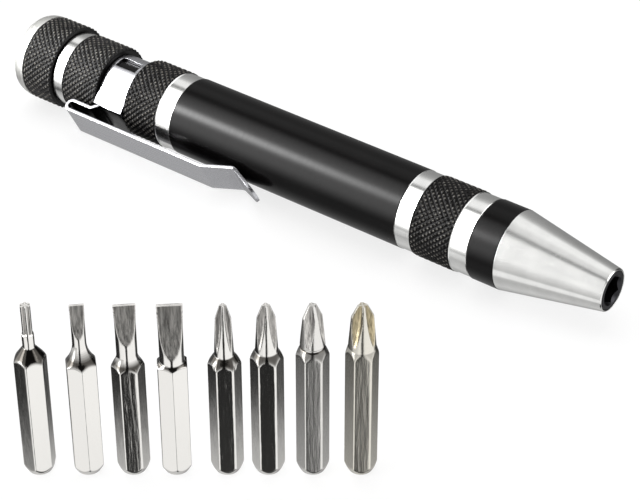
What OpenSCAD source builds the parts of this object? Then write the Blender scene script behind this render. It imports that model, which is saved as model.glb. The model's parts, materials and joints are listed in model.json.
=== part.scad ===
// Pocket screwdriver: a knurled pen with a spring clip, a swivel cap and loose hexagon bits.
// Millimetres. +X runs along the pen to the mouth of its nose, and +Z is up.
// The origin is the centre of the mouth, where a bit's shank enters.

/* [Barrel] */
// Diameter of the smooth barrel and of the nose's collar
barrel_d = 13; // [12:0.1:15]
// Length of the smooth barrel between the two bright rings beside it
smooth_len = 44.6; // [36:0.1:60]
// How far the knurled bands stand above the smooth barrel
knurl_rise = 0.1; // [0.05:0.01:0.3]
// How far the bright rings are cut below the smooth barrel
ring_sink = 0.1; // [0.05:0.01:0.3]
// Width of the bright ring beside the nose
front_ring_len = 3; // [1.5:0.1:5]
// Width of the knurled band beside the nose
front_knurl_len = 7.4; // [4:0.1:12]
// Width of the bright ring at the smooth barrel's front end
middle_ring_len = 2.6; // [1.5:0.1:5]
// Width of the bright ring at the smooth barrel's rear end
rear_ring_len = 2.8; // [1.5:0.1:5]
// Width of the knurled band in front of the clip
middle_knurl_len = 6.9; // [4:0.1:10]
// Width of the neck that carries the clip's band
neck_len = 6.1; // [4.5:0.1:8]
// Diameter of the neck
neck_d = 9.9; // [9:0.1:10.6]
// Width of the knurled band behind the clip
rear_knurl_len = 7.35; // [5:0.05:10]
// Width of the bright ring beside the swivel cap
tail_ring_len = 2.05; // [1:0.05:4]

/* [Bit store] */
// Bore of the store, wide enough for four bits side by side
store_d = 10.8; // [10.4:0.1:11.2]
// Solid metal left between the store and the neck
store_wall = 2.9; // [2:0.1:5]
// Lead-in at the store's mouth
store_lead = 0.3; // [0.1:0.05:0.5]

/* [Nose] */
// Length of the bright cone
cone_len = 16.8; // [14:0.1:22]
// Diameter of the cone's small end
mouth_d = 6.9; // [6.6:0.1:8]
// Width of the black collar behind the cone
collar_len = 4.8; // [3:0.1:8]
// Length of the threaded spigot inside the barrel
spigot_len = 6; // [4:0.1:9]
// Radial play of the spigot in the barrel
spigot_play = 0.05; // [0.02:0.01:0.1]
// Thickness of the rubber ring on the spigot
o_ring_t = 0.7; // [0.5:0.05:0.9]
// Solid land between the rubber ring's groove and the collar
o_ring_land = 0.5; // [0.3:0.05:1]

/* [Bit socket] */
// Width across flats of the hexagon hole
socket_af = 4.05; // [4.02:0.01:4.15]
// Depth of the hexagon hole
socket_depth = 12; // [9:0.1:13]
// Outer diameter of the steel sleeve
socket_d = 6.3; // [6:0.1:6.5]
// Thickness of the sleeve's floor behind the magnet
socket_floor = 0.9; // [0.6:0.1:2]
// Depth of the lead-in at the mouth
socket_lead = 0.45; // [0.2:0.05:0.8]
// Diameter of the magnet
magnet_d = 4; // [3.4:0.1:4]
// Thickness of the magnet
magnet_t = 2; // [1:0.1:2.5]

/* [Swivel cap] */
// Diameter of the cap over its knurl
cap_d = 14.4; // [13.6:0.1:16]
// Width of the cap's knurled band
cap_knurl_len = 6.6; // [6.4:0.1:10]
// Length of the cap's rounded bright end
cap_dome_len = 1.8; // [1.2:0.1:3]
// How far the rounded end draws in
cap_dome_in = 0.9; // [0.5:0.1:1.5]
// Gap between the cap's skirt and the barrel
cap_gap = 0.1; // [0.05:0.01:0.2]
// Thickness of the cap's web on the pin
cap_web = 4.8; // [3:0.1:5]
// Diameter of the end button
button_d = 8.4; // [7:0.1:10]
// Thickness of the end button
button_t = 2.4; // [1.6:0.1:2.5]
// How far the button stands out of the cap
button_proud = 0.2; // [0.1:0.05:0.5]
// Diameter of the pin
pin_d = 3; // [2.4:0.1:4]
// Length of the pin held in the barrel's tail
pin_grip = 6; // [4:0.1:8]
// Radial play of the cap on the pin
pin_play = 0.05; // [0.02:0.01:0.1]
// Diameter of the pin's head
pin_head_d = 5.4; // [4.6:0.1:6.4]
// Thickness of the pin's head
pin_head_t = 0.9; // [0.6:0.05:1]
// Diameter of the thrust washer
washer_d = 10; // [8:0.1:11]
// Thickness of the thrust washer
washer_t = 0.3; // [0.2:0.05:0.6]
// Play between the washer and the cap, along the pen
washer_play = 0.05; // [0.03:0.01:0.1]

/* [Clip] */
// Thickness of the spring strip
strip_t = 0.5; // [0.3:0.05:0.7]
// Width of the strip
strip_w = 6.5; // [5:0.1:8]
// Play of the band on the neck
band_play = 0.05; // [0.02:0.01:0.1]
// Gap between the band and each end of the neck
band_side_gap = 0.15; // [0.1:0.01:0.3]
// How far the band's flat root lifts off the neck
root_lift = 0.65; // [0.3:0.05:1]
// Opening of the band opposite the clip, in degrees
band_gap_angle = 40; // [20:1:70]
// Width of the band's window round the neck, in degrees
window_angle = 25; // [15:1:35]
// Length of the band's window along the pen
window_len = 4.2; // [3:0.1:4.4]
// Metal between the window and the band's rear edge
window_rear = 0.6; // [0.4:0.05:0.8]
// Play between the clip's tab and the rear knurl
tab_play = 0.09; // [0.05:0.01:0.2]
// Length of the ramp from the band up to the tab
ramp_len = 1; // [0.6:0.1:1.6]
// Length of the tab over the rear knurl, up to the loop
tab_len = 3.6; // [2:0.1:5]
// Clear gap inside the loop, between the tab and the arm
loop_gap = 1.26; // [0.8:0.02:2]
// Length of the arm's straight run, from the loop to its knee
arm_len = 28.1; // [20:0.1:36]
// Length of the arm's slope from its knee down to the barrel
slope_len = 5.4; // [3:0.1:8]
// Length of the flared tip
tip_len = 5; // [3:0.1:8]
// Height of the flared tip above the arm's lowest bend
tip_rise = 2.05; // [1:0.05:3]
// Width of the strip at the tip's end
tip_w = 4.4; // [3:0.1:5]
// Gap between the arm's lowest bend and the barrel
touch_play = 0.1; // [0.05:0.01:0.2]
// Mid-line radius of the arm's bends
knee_r = 1.4; // [0.8:0.1:2]

/* [Bits] */
// Width across flats of every bit's shank
bit_af = 4; // [3.8:0.01:4]
// Length of every bit
bit_len = 28; // [24:0.1:32]
// Length of the chamfer at a bit's foot
foot_len = 1.1; // [0.6:0.1:1.6]
// Diameter of a bit's flat foot
foot_d = 3.4; // [3:0.1:3.8]
// Length of the row in which the bits stand
row_len = 44; // [42:0.5:80]
// Distance of the row's first bit behind the mouth
row_back = 47.2; // [30:0.5:60]
// Distance of the row's first bit beside the pen
row_side = 73; // [72:0.5:100]
// Direction of the row, in degrees from the pen's own direction
row_turn = 36.54; // [0:0.5:45]

/* [Six-lobe bit] */
// Diameter over the lobes
lobe_d = 1.42; // [1.2:0.01:1.7]
// Diameter of the round grooves between the lobes
lobe_groove_d = 0.42; // [0.3:0.01:0.5]
// Length of the lobed tip
lobe_len = 4.6; // [3:0.1:5]
// Diameter of the shaft behind the lobes
lobe_shaft_d = 1.66; // [1.5:0.01:2]
// Distance from the tip to the shoulder
lobe_neck_len = 6.8; // [5.5:0.1:8]
// Distance from the tip to the full hexagon
lobe_nose_len = 9.05; // [8.4:0.05:11]

/* [Slotted bits] */
// Blade width of the small slotted bit
slot_small_w = 2; // [1.6:0.1:2.4]
// Blade thickness of the small slotted bit
slot_small_t = 0.4; // [0.2:0.05:0.6]
// Length of the ground faces on the small slotted bit
slot_small_ground = 5.1; // [3:0.1:6]
// Distance from the tip to the full hexagon on the small slotted bit
slot_small_nose = 9.7; // [8:0.1:11]
// Length of the flare on the small slotted bit
slot_small_flare = 3.6; // [1:0.1:4]
// Blade width of the medium slotted bit
slot_medium_w = 3; // [2.5:0.1:3.2]
// Blade thickness of the medium slotted bit
slot_medium_t = 0.5; // [0.3:0.05:0.8]
// Length of the ground faces on the medium slotted bit
slot_medium_ground = 5.8; // [4:0.1:7]
// Distance from the tip to the full hexagon on the medium slotted bit
slot_medium_nose = 10.1; // [9:0.1:12]
// Length of the flare on the medium slotted bit
slot_medium_flare = 2.2; // [0.6:0.1:3]
// Blade width of the large slotted bit
slot_large_w = 3.5; // [3.2:0.1:3.8]
// Blade thickness of the large slotted bit
slot_large_t = 0.6; // [0.4:0.05:0.9]
// Length of the ground faces on the large slotted bit
slot_large_ground = 8; // [5:0.1:8.6]
// Distance from the tip to the full hexagon on the large slotted bit
slot_large_nose = 9.7; // [9.6:0.1:12]
// Length of the flare on the large slotted bit
slot_large_flare = 0.7; // [0.4:0.1:1]

/* [Cross bits] */
// Shaft diameter of the smallest cross bit
cross_small_d = 2.66; // [2.2:0.01:2.9]
// Shaft diameter of the medium cross bit
cross_medium_d = 3.1; // [2.8:0.01:3.3]
// Shaft diameter of the large cross bit
cross_large_d = 3.4; // [3.1:0.01:3.6]
// Shaft diameter of the largest cross bit
cross_extra_d = 3.8; // [3.5:0.01:3.9]
// Distance from the tip to the full hexagon on the smallest cross bit
cross_small_nose = 9.8; // [8.5:0.1:12]
// Distance from the tip to the full hexagon on the medium cross bit
cross_medium_nose = 9; // [8:0.1:12]
// Distance from the tip to the full hexagon on the large cross bit
cross_large_nose = 8.35; // [8:0.05:12]
// Distance from the tip to the full hexagon on the largest cross bit
cross_extra_nose = 8.2; // [7.8:0.1:12]
// Depth of the turned groove behind the large cross bit's flutes
cross_groove_sink = 0.15; // [0.05:0.01:0.3]
// Width of that groove
cross_groove_len = 0.5; // [0.3:0.05:0.8]

/* [Hidden] */
$fn = 96;

// Radii
barrel_r = barrel_d / 2;
knurl_r = barrel_r + knurl_rise;
ring_r = barrel_r - ring_sink;
band_step = knurl_r - ring_r;
smooth_step = barrel_r - ring_r;
neck_r = neck_d / 2;
store_r = store_d / 2;
cap_r = cap_d / 2;
mouth_r = mouth_d / 2;
pin_r = pin_d / 2;
washer_r = washer_d / 2;
button_r = button_d / 2;

// Small edges, overruns and fits that many pieces share
edge = 0.15;
overrun = 1;
press_gap = 0.01;
hole_spare = 0.1;
axle_end_play = 0.05;

// Stations along the pen, from the mouth back to the tail
x_cone = -cone_len;
x_seat = x_cone - collar_len;
x_front_knurl = x_seat - front_ring_len;
x_middle_ring = x_front_knurl - front_knurl_len;
x_smooth_front = x_middle_ring - middle_ring_len;
x_smooth_rear = x_smooth_front - smooth_len;
x_middle_knurl = x_smooth_rear - rear_ring_len;
x_neck_front = x_middle_knurl - middle_knurl_len;
x_neck_rear = x_neck_front - neck_len;
x_tail_ring = x_neck_rear - rear_knurl_len;
x_tail = x_tail_ring - tail_ring_len;
x_store = x_neck_front + store_wall;
x_pin_front = x_tail + pin_grip;
x_spigot = x_seat - spigot_len;

// The rubber ring and its groove
spigot_r = store_r - spigot_play;
groove_side_play = 0.1;
groove_len = o_ring_t + 2 * groove_side_play;
x_groove_front = x_seat - o_ring_land;
x_groove_rear = x_groove_front - groove_len;
groove_r = spigot_r - o_ring_t - 2 * press_gap;
o_ring_r = groove_r + press_gap + o_ring_t / 2;

// The socket and its magnet
socket_r = socket_d / 2;
magnet_r = magnet_d / 2;
socket_len = socket_depth + magnet_t + hole_spare + socket_floor;

// The cap on its pin
x_cap_front = x_tail - cap_gap;
x_cap_dome = x_cap_front - cap_knurl_len;
x_cap_rear = x_cap_dome - cap_dome_len;
x_web_front = x_tail - washer_t - washer_play;
x_web_rear = x_web_front - cap_web;
x_head = x_web_rear - axle_end_play;
x_button = x_cap_rear - button_proud;
dome_steps = 6;
head_slot_w = 0.7;
head_slot_depth = 0.4;

// The clip: heights are measured from the pen's axis along the clip's own direction
clip_turn = 117.3;
window_turn = -111.3;
band_r = neck_r + band_play;
band_outer_r = band_r + strip_t;
flank_bite = 0.01;
x_band_front = x_neck_front - band_side_gap;
x_band_rear = x_neck_rear + band_side_gap;
root_height = band_r + root_lift + strip_t / 2;
tab_height = knurl_r + tab_play + strip_t / 2;
loop_r = (loop_gap + strip_t) / 2;
loop_height = tab_height + loop_r;
arm_height = tab_height + 2 * loop_r;
touch_height = barrel_r + touch_play + strip_t / 2;
x_ramp = x_band_rear + ramp_len;
x_loop = x_band_rear - tab_len;
x_knee = x_loop + arm_len;
x_touch = x_knee + slope_len;
x_tip = x_touch + tip_len;
ramp_r = 0.55;
bend_steps = 6;
loop_steps = 16;
strip_path = concat(
  [[x_band_front, root_height]],
  bend([x_band_front, root_height], [x_ramp, root_height], [x_band_rear, tab_height], ramp_r),
  bend([x_ramp, root_height], [x_band_rear, tab_height], [x_loop, tab_height], ramp_r),
  [for (i = [0:loop_steps])
    [x_loop, loop_height] + loop_r * [cos(-90 - 180 * i / loop_steps), sin(-90 - 180 * i / loop_steps)]],
  bend([x_loop, arm_height], [x_knee, arm_height], [x_touch, touch_height], knee_r),
  bend([x_knee, arm_height], [x_touch, touch_height], [x_tip, touch_height + tip_rise], knee_r),
  [[x_tip, touch_height + tip_rise]]
);

// The bits
bit_corner_r = bit_af / sqrt(3);
bit_envelope_r = bit_corner_r + hole_spare;
floor_z = -cap_r;
row_shares = [0, 0.152, 0.293, 0.427, 0.585, 0.713, 0.851, 1];

// How each bit of the row is turned about its own axis, and how its shank and flutes sit to its tip
bit_turns = [9.5, 7.9, 6.3, 4.9, 3.1, 1.8, 0.3, -1.4];
shank_turns = [12, 32, 0, 30, 0, 0, 3, 4];
flute_turns = [0, 6, 24, 12];

wheel_rim_half_angle = 46;
wheel_rim_flat_share = 0.1;
flare_steps = 5;

// Shares of a cross bit's shaft diameter, or of its length from tip to hexagon
cross_tip_share = 0.34;
cross_web_share = 0.13;
cross_point_share = 0.8;
cross_point_len_share = 0.22;
cross_neck_len_share = 0.82;
cross_flute_len_share = 0.74;

function unit(v) = v / norm(v);

// Points of the arc of radius r that rounds the corner b between a and c
function bend(a, b, c, r) =
  let (
    u = unit(a - b),
    v = unit(c - b),
    half = acos(u * v) / 2,
    centre = b + unit(u + v) * r / sin(half),
    first = b + u * r / tan(half) - centre,
    last = b + v * r / tan(half) - centre,
    start = atan2(first[1], first[0]),
    turn = (last[0] * first[1] - last[1] * first[0] > 0 ? -1 : 1) * (180 - 2 * half)
  )
  [for (i = [0:bend_steps])
    centre + r * [cos(start + turn * i / bend_steps), sin(start + turn * i / bend_steps)]];

// Direction of a path at point i, averaged over the stretches on its two sides
function heading(path, i) =
  let (
    back = i > 0 ? unit(path[i] - path[i - 1]) : [0, 0],
    on = i < len(path) - 1 ? unit(path[i + 1] - path[i]) : [0, 0]
  )
  unit(back + on);

// A path moved sideways by a distance
function beside(path, distance) =
  [for (i = [0:len(path) - 1])
    let (h = heading(path, i)) path[i] + distance * [-h[1], h[0]]];

function reversed(points) = [for (i = [len(points) - 1:-1:0]) points[i]];

// A band of radius r with sloped ends, as [radius, station] pairs from rear to front
function band(r, rear, front, step) =
  [[r - step, rear], [r, rear + step], [r, front - step], [r - step, front]];

// Turns an outline of [radius, station] pairs round the pen's axis
module turned(points) {
  rotate([0, 90, 0])
    rotate_extrude()
      polygon(points);
}

// Lays an outline of [station, height] pairs on its side and gives it a width
module across(width) {
  rotate([90, 0, 0])
    linear_extrude(width, center = true)
      children();
}

// Turned barrel with the clip's neck, the bit store and the hole for the cap's pin
module barrel() {
  color([0.1, 0.1, 0.11])
    turned(concat(
      [[pin_r + press_gap, x_tail], [ring_r - edge, x_tail], [ring_r, x_tail + edge]],
      band(knurl_r, x_tail_ring, x_neck_rear, band_step),
      [[neck_r, x_neck_rear], [neck_r, x_neck_front]],
      band(knurl_r, x_neck_front, x_middle_knurl, band_step),
      band(barrel_r, x_smooth_rear, x_smooth_front, smooth_step),
      band(knurl_r, x_middle_ring, x_front_knurl, band_step),
      [[ring_r, x_seat - edge], [ring_r - edge, x_seat]],
      [[store_r + store_lead, x_seat], [store_r, x_seat - store_lead], [store_r, x_store], [0, x_store]],
      [[0, x_pin_front + hole_spare], [pin_r + press_gap, x_pin_front + hole_spare]]
    ));
}

// Headed pin pressed into the barrel's tail, with a driver slot across its head
module swivel_pin() {
  color([0.72, 0.73, 0.75])
    difference() {
      turned([
        [0, x_head - pin_head_t],
        [pin_head_d / 2 - edge, x_head - pin_head_t],
        [pin_head_d / 2, x_head - pin_head_t + edge],
        [pin_head_d / 2, x_head],
        [pin_r, x_head],
        [pin_r, x_pin_front - edge],
        [pin_r - edge, x_pin_front],
        [0, x_pin_front]
      ]);
      translate([x_head - pin_head_t - overrun, -head_slot_w / 2, -pin_head_d])
        cube([overrun + head_slot_depth, head_slot_w, 2 * pin_head_d]);
    }
}

// Flat washer on the pin, between the barrel's tail and the cap's web
module thrust_washer() {
  color([0.92, 0.92, 0.88])
    turned([
      [pin_r + pin_play, x_tail - washer_t],
      [washer_r, x_tail - washer_t],
      [washer_r, x_tail],
      [pin_r + pin_play, x_tail]
    ]);
}

// Knurled cap with a rounded end, bored to run on the pin
module swivel_cap() {
  recess_r = washer_r + hole_spare;
  color([0.13, 0.13, 0.14])
    turned(concat(
      [for (i = [dome_steps:-1:0])
        let (a = 90 * i / dome_steps)
        [cap_r - cap_dome_in * (1 - cos(a)), x_cap_dome - cap_dome_len * sin(a)]],
      [[cap_r, x_cap_front - band_step], [cap_r - band_step, x_cap_front], [recess_r, x_cap_front]],
      [[recess_r, x_web_front], [pin_r + pin_play, x_web_front], [pin_r + pin_play, x_web_rear]],
      [[button_r + press_gap, x_web_rear], [button_r + press_gap, x_cap_rear]]
    ));
}

// Bright plug that closes the cap over the pin's head
module end_button() {
  color([0.86, 0.87, 0.88])
    turned([
      [0, x_button],
      [button_r - edge, x_button],
      [button_r, x_button + edge],
      [button_r, x_button + button_t],
      [0, x_button + button_t]
    ]);
}

// Rubber ring in the spigot's groove
module nose_o_ring() {
  color([0.05, 0.05, 0.05])
    translate([x_groove_front - groove_len / 2, 0, 0])
      rotate([0, 90, 0])
        rotate_extrude()
          translate([o_ring_r, 0])
            circle(d = o_ring_t, $fn = 48);
}

// Turned nose: spigot with a groove, black collar and bright cone, bored for the socket
module nose() {
  sleeve_hole_r = socket_r + press_gap;
  color([0.82, 0.83, 0.85])
    turned([
      [0, x_spigot],
      [spigot_r - edge, x_spigot],
      [spigot_r, x_spigot + edge],
      [spigot_r, x_groove_rear],
      [groove_r, x_groove_rear],
      [groove_r, x_groove_front],
      [spigot_r, x_groove_front],
      [spigot_r, x_seat],
      [barrel_r - edge, x_seat],
      [barrel_r, x_seat + edge],
      [barrel_r, x_cone],
      [mouth_r, -edge],
      [mouth_r - edge, 0],
      [sleeve_hole_r, 0],
      [sleeve_hole_r, -socket_len],
      [0, -socket_len]
    ]);
}

// Steel sleeve with the hexagon hole, a lead-in at its mouth and a pocket for the magnet
module bit_socket() {
  socket_corner_r = socket_af / sqrt(3);
  color([0.3, 0.3, 0.32])
    difference() {
      turned([
        [0, -socket_len],
        [socket_r - edge, -socket_len],
        [socket_r, edge - socket_len],
        [socket_r, -edge],
        [socket_r - edge, 0],
        [0, 0]
      ]);
      translate([-socket_depth, 0, 0])
        rotate([0, 90, 0])
          cylinder(r = socket_corner_r, h = socket_depth + overrun, $fn = 6);
      translate([-socket_lead, 0, 0])
        rotate([0, 90, 0])
          cylinder(r1 = socket_af / 2, r2 = socket_af / 2 + 2 * socket_lead, h = 2 * socket_lead);
      translate([-socket_depth - magnet_t - hole_spare, 0, 0])
        rotate([0, 90, 0])
          cylinder(r = magnet_r + press_gap, h = magnet_t + hole_spare + overrun);
    }
}

// Disc magnet on the floor of the socket
module magnet() {
  color([0.75, 0.75, 0.77])
    turned([
      [0, -socket_depth - magnet_t],
      [magnet_r, -socket_depth - magnet_t],
      [magnet_r, -socket_depth - edge],
      [magnet_r - edge, -socket_depth],
      [0, -socket_depth]
    ]);
}

// Direction in which a flank from the corner of the root meets a circle of radius r
function flank_turn(corner, r) = atan2(corner[0], corner[1]) + acos(r / norm(corner));

// Section of the clip's band: a circle whose top is drawn out to a flat root by two flanks,
// which run a hair into the circle
module band_section(r, corner) {
  flank_r = r - flank_bite;
  turn = flank_turn(corner, flank_r);
  circle(r = r);
  polygon([
    corner,
    [-corner[0], corner[1]],
    flank_r * [-sin(turn), cos(turn)],
    [0, 0],
    flank_r * [sin(turn), cos(turn)]
  ]);
}

// The whole clip strip seen from the side, from the band's root to the flared tip
module strip_side() {
  polygon(concat(beside(strip_path, strip_t / 2), reversed(beside(strip_path, -strip_t / 2))));
}

// Region on one side of the loop's mid-height, over the loop and the tab
module tab_region() {
  translate([x_loop - 2 * loop_r - overrun, 0])
    square([x_band_front - x_loop + 2 * (loop_r + overrun), loop_height]);
}

// Spring band round the neck with its window, its tab and the lower half of the loop
module clip_ring() {
  corner = [strip_w / 2, root_height + strip_t / 2];
  turn = flank_turn(corner, band_outer_r - flank_bite);
  inner_top = root_height - strip_t / 2;
  inner_corner = [(band_r - flank_bite - inner_top * cos(turn)) / sin(turn), inner_top];
  band_len = x_band_front - x_band_rear;
  color([0.8, 0.81, 0.83])
    rotate([clip_turn, 0, 0]) {
      difference() {
        translate([x_band_rear, 0, 0])
          rotate([90, 0, 90])
            linear_extrude(band_len)
              difference() {
                band_section(band_outer_r, corner);
                band_section(band_r, inner_corner);
                band_wedge(180, band_gap_angle);
              }
        translate([x_band_rear + window_rear, 0, 0])
          rotate([90, 0, 90])
            linear_extrude(window_len)
              band_wedge(window_turn, window_angle);
      }
      across(strip_w)
        intersection() {
          strip_side();
          tab_region();
        }
    }
}

// Wedge of the band's section, centred at a turn from the clip's direction
module band_wedge(turn, angle) {
  reach = 2 * band_outer_r;
  rotate(turn)
    polygon([[0, 0], reach * [-tan(angle / 2), 1], reach * [tan(angle / 2), 1]]);
}

// Outer half of the strip: the loop's upper half, the arm, its knee and the rounded, flared tip
module clip_arm() {
  color([0.78, 0.79, 0.81])
    rotate([clip_turn, 0, 0])
      intersection() {
        across(strip_w)
          difference() {
            strip_side();
            tab_region();
          }
        linear_extrude(arm_height + barrel_r)
          arm_plan();
      }
}

// The arm seen from above: full width to the lowest bend, then drawn in to a rounded tip
module arm_plan() {
  half = strip_w / 2;
  tip_half = tip_w / 2;
  rear = x_loop - 2 * loop_r;
  polygon([
    [rear, -half],
    [x_touch, -half],
    [x_tip - tip_half, -tip_half],
    [x_tip - tip_half, tip_half],
    [x_touch, half],
    [rear, half]
  ]);
  translate([x_tip - tip_half, 0])
    circle(r = tip_half);
}

// Hexagon bit standing on its foot: the nose outline gives [radius, distance from the tip] pairs
module bit_blank(nose_outline, nose_len, hex_turn) {
  shank_len = bit_len - nose_len;
  intersection() {
    rotate(hex_turn)
      cylinder(r = bit_corner_r, h = bit_len, $fn = 6);
    rotate_extrude()
      polygon(concat(
        [[0, 0], [foot_d / 2, 0], [bit_envelope_r, foot_len * (bit_envelope_r - foot_d / 2) / (bit_corner_r - foot_d / 2)]],
        [[bit_envelope_r, shank_len]],
        [for (p = reversed(nose_outline)) [p[0], bit_len - p[1]]],
        [[0, bit_len]]
      ));
  }
}

// A grinding wheel's path that reaches the given half thickness at the tip and runs out at a length
function wheel_r(depth, run_out) = (depth * depth + run_out * run_out) / (2 * depth);

// Slotted bit: a round shaft, hollow-ground on two sides to a blade
module slotted_bit(blade_w, blade_t, ground_len, flare_len, nose_len, hex_turn) {
  shaft_share = 0.94;
  shaft_r = shaft_share * blade_w / 2;
  neck = nose_len - flare_len;
  grind_r = wheel_r(shaft_r - blade_t / 2, ground_len);
  difference() {
    bit_blank(concat(
      [[blade_w / 2, 0], [shaft_r, ground_len / 2]],
      [for (i = [0:flare_steps])
        let (s = i / flare_steps)
        [shaft_r + (bit_envelope_r - shaft_r) * s * s, neck + flare_len * s]]
    ), nose_len, hex_turn);
    for (side = [-1, 1])
      translate([0, side * (blade_t / 2 + grind_r), bit_len])
        rotate([0, 90, 0])
          cylinder(r = grind_r, h = 2 * bit_af, center = true, $fn = 200);
  }
}

// Cross bit: a pointed shaft with four flutes cut by a wheel with a vee rim
module cross_bit(shaft_d, nose_len, flute_turn, hex_turn, groove_len, groove_sink) {
  shaft_r = shaft_d / 2;
  web_r = cross_web_share * shaft_d;
  neck = cross_neck_len_share * nose_len;
  cut_r = wheel_r(shaft_r - web_r, cross_flute_len_share * nose_len);
  rim = 2 * shaft_r;
  rim_flat = wheel_rim_flat_share * shaft_r;
  difference() {
    bit_blank(concat(
      [[cross_tip_share * shaft_r, 0]],
      [[cross_point_share * shaft_r, cross_point_len_share * nose_len]],
      [[shaft_r, neck - groove_len]],
      groove_sink > 0
        ? [[shaft_r - groove_sink, neck - groove_len + groove_sink], [shaft_r - groove_sink, neck]]
        : [[shaft_r, neck]],
      [[bit_envelope_r, nose_len]]
    ), nose_len, hex_turn);
    for (i = [0:3])
      rotate(flute_turn + 45 + 90 * i)
        translate([web_r + cut_r, 0, bit_len])
          rotate([90, 0, 0])
            rotate_extrude($fn = 200)
              polygon([
                [cut_r, -rim_flat],
                [cut_r, rim_flat],
                [cut_r - rim, rim_flat + rim * tan(wheel_rim_half_angle)],
                [cut_r - rim, -rim_flat - rim * tan(wheel_rim_half_angle)]
              ]);
  }
}

// Puts a bit at its place in the row, standing on the surface that the cap rests on
module in_row(i) {
  along = row_shares[i] * row_len;
  translate([along * cos(row_turn) - row_back, along * sin(row_turn) - row_side, floor_z])
    rotate(row_turn + bit_turns[i])
      children();
}

module bit_six_lobe() {
  color([0.78, 0.76, 0.75])
    in_row(0)
      difference() {
        bit_blank([
          [lobe_d / 2, 0],
          [lobe_d / 2, lobe_len],
          [lobe_shaft_d / 2, lobe_len + (lobe_shaft_d - lobe_d) / 2],
          [lobe_shaft_d / 2, lobe_neck_len],
          [bit_envelope_r, lobe_nose_len]
        ], lobe_nose_len, shank_turns[0]);
        for (i = [0:5])
          rotate(60 * i)
            translate([lobe_d / 2, 0, bit_len - lobe_len])
              cylinder(d = lobe_groove_d, h = lobe_len + overrun, $fn = 24);
      }
}

module bit_slot_small() {
  color([0.85, 0.84, 0.8])
    in_row(1)
      slotted_bit(slot_small_w, slot_small_t, slot_small_ground, slot_small_flare, slot_small_nose, shank_turns[1]);
}

module bit_slot_medium() {
  color([0.7, 0.7, 0.68])
    in_row(2)
      slotted_bit(slot_medium_w, slot_medium_t, slot_medium_ground, slot_medium_flare, slot_medium_nose, shank_turns[2]);
}

module bit_slot_large() {
  color([0.85, 0.84, 0.8])
    in_row(3)
      slotted_bit(slot_large_w, slot_large_t, slot_large_ground, slot_large_flare, slot_large_nose, shank_turns[3]);
}

module bit_cross_small() {
  color([0.7, 0.7, 0.68])
    in_row(4)
      cross_bit(cross_small_d, cross_small_nose, flute_turns[0], shank_turns[4], 0, 0);
}

module bit_cross_medium() {
  color([0.74, 0.72, 0.7])
    in_row(5)
      cross_bit(cross_medium_d, cross_medium_nose, flute_turns[1], shank_turns[5], 0, 0);
}

module bit_cross_large() {
  color([0.72, 0.71, 0.7])
    in_row(6)
      cross_bit(cross_large_d, cross_large_nose, flute_turns[2], shank_turns[6], cross_groove_len, cross_groove_sink);
}

module bit_cross_extra() {
  color([0.7, 0.68, 0.62])
    in_row(7)
      cross_bit(cross_extra_d, cross_extra_nose, flute_turns[3], shank_turns[7], 0, 0);
}

barrel();
swivel_pin();
thrust_washer();
swivel_cap();
end_button();
nose_o_ring();
nose();
bit_socket();
magnet();
clip_ring();
clip_arm();
bit_six_lobe();
bit_slot_small();
bit_slot_medium();
bit_slot_large();
bit_cross_small();
bit_cross_medium();
bit_cross_large();
bit_cross_extra();
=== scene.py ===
# %% [markdown]
# # A pocket screwdriver and its eight bits
# The pen is turned from aluminium bar, anodised black, and then cut again, so that bright rings
# show through the black. Its clip is one bent strip of spring steel, and its bits are plated steel.
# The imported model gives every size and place. This script dresses it: it keeps the pieces whose
# shape is right, gives each one a finish, and remakes the ones that need knurling, soft edges or a
# bend, in the same place.

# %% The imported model
import json
import math
from functools import partial

import bmesh
import bpy
import numpy as np
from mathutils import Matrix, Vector


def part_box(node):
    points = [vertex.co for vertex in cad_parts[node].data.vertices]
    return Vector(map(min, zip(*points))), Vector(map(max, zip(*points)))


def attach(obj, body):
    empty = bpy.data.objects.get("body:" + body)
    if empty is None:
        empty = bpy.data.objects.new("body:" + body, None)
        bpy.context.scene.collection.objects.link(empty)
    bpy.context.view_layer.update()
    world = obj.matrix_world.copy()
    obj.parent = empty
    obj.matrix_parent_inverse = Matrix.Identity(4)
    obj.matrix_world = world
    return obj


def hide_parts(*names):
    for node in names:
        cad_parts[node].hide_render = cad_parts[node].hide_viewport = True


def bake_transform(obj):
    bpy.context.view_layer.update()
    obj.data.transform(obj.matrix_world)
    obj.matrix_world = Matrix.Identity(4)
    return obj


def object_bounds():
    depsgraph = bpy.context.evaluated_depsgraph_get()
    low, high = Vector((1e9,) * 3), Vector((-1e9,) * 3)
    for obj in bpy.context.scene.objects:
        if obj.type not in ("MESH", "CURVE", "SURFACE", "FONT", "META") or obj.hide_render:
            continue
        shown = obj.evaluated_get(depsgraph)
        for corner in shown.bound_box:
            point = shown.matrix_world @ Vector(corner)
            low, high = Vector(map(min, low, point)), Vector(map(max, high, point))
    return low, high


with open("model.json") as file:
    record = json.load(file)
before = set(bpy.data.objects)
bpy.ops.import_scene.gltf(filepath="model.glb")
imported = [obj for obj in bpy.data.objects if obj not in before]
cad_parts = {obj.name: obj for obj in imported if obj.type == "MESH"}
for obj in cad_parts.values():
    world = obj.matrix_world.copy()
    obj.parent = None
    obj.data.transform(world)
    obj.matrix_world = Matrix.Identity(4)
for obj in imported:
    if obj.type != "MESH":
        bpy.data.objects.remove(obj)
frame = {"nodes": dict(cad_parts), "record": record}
cad_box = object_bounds()
MM = 0.001

# %% [markdown]
# ## The camera
# The photograph was taken from in front of the pen's clip side, well above it, with a long lens.
# A long lens keeps the pen's far end nearly as thick as its near end. The camera is placed by a
# point that it looks at, two angles and a distance, which is how a photographer would say it.

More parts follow.
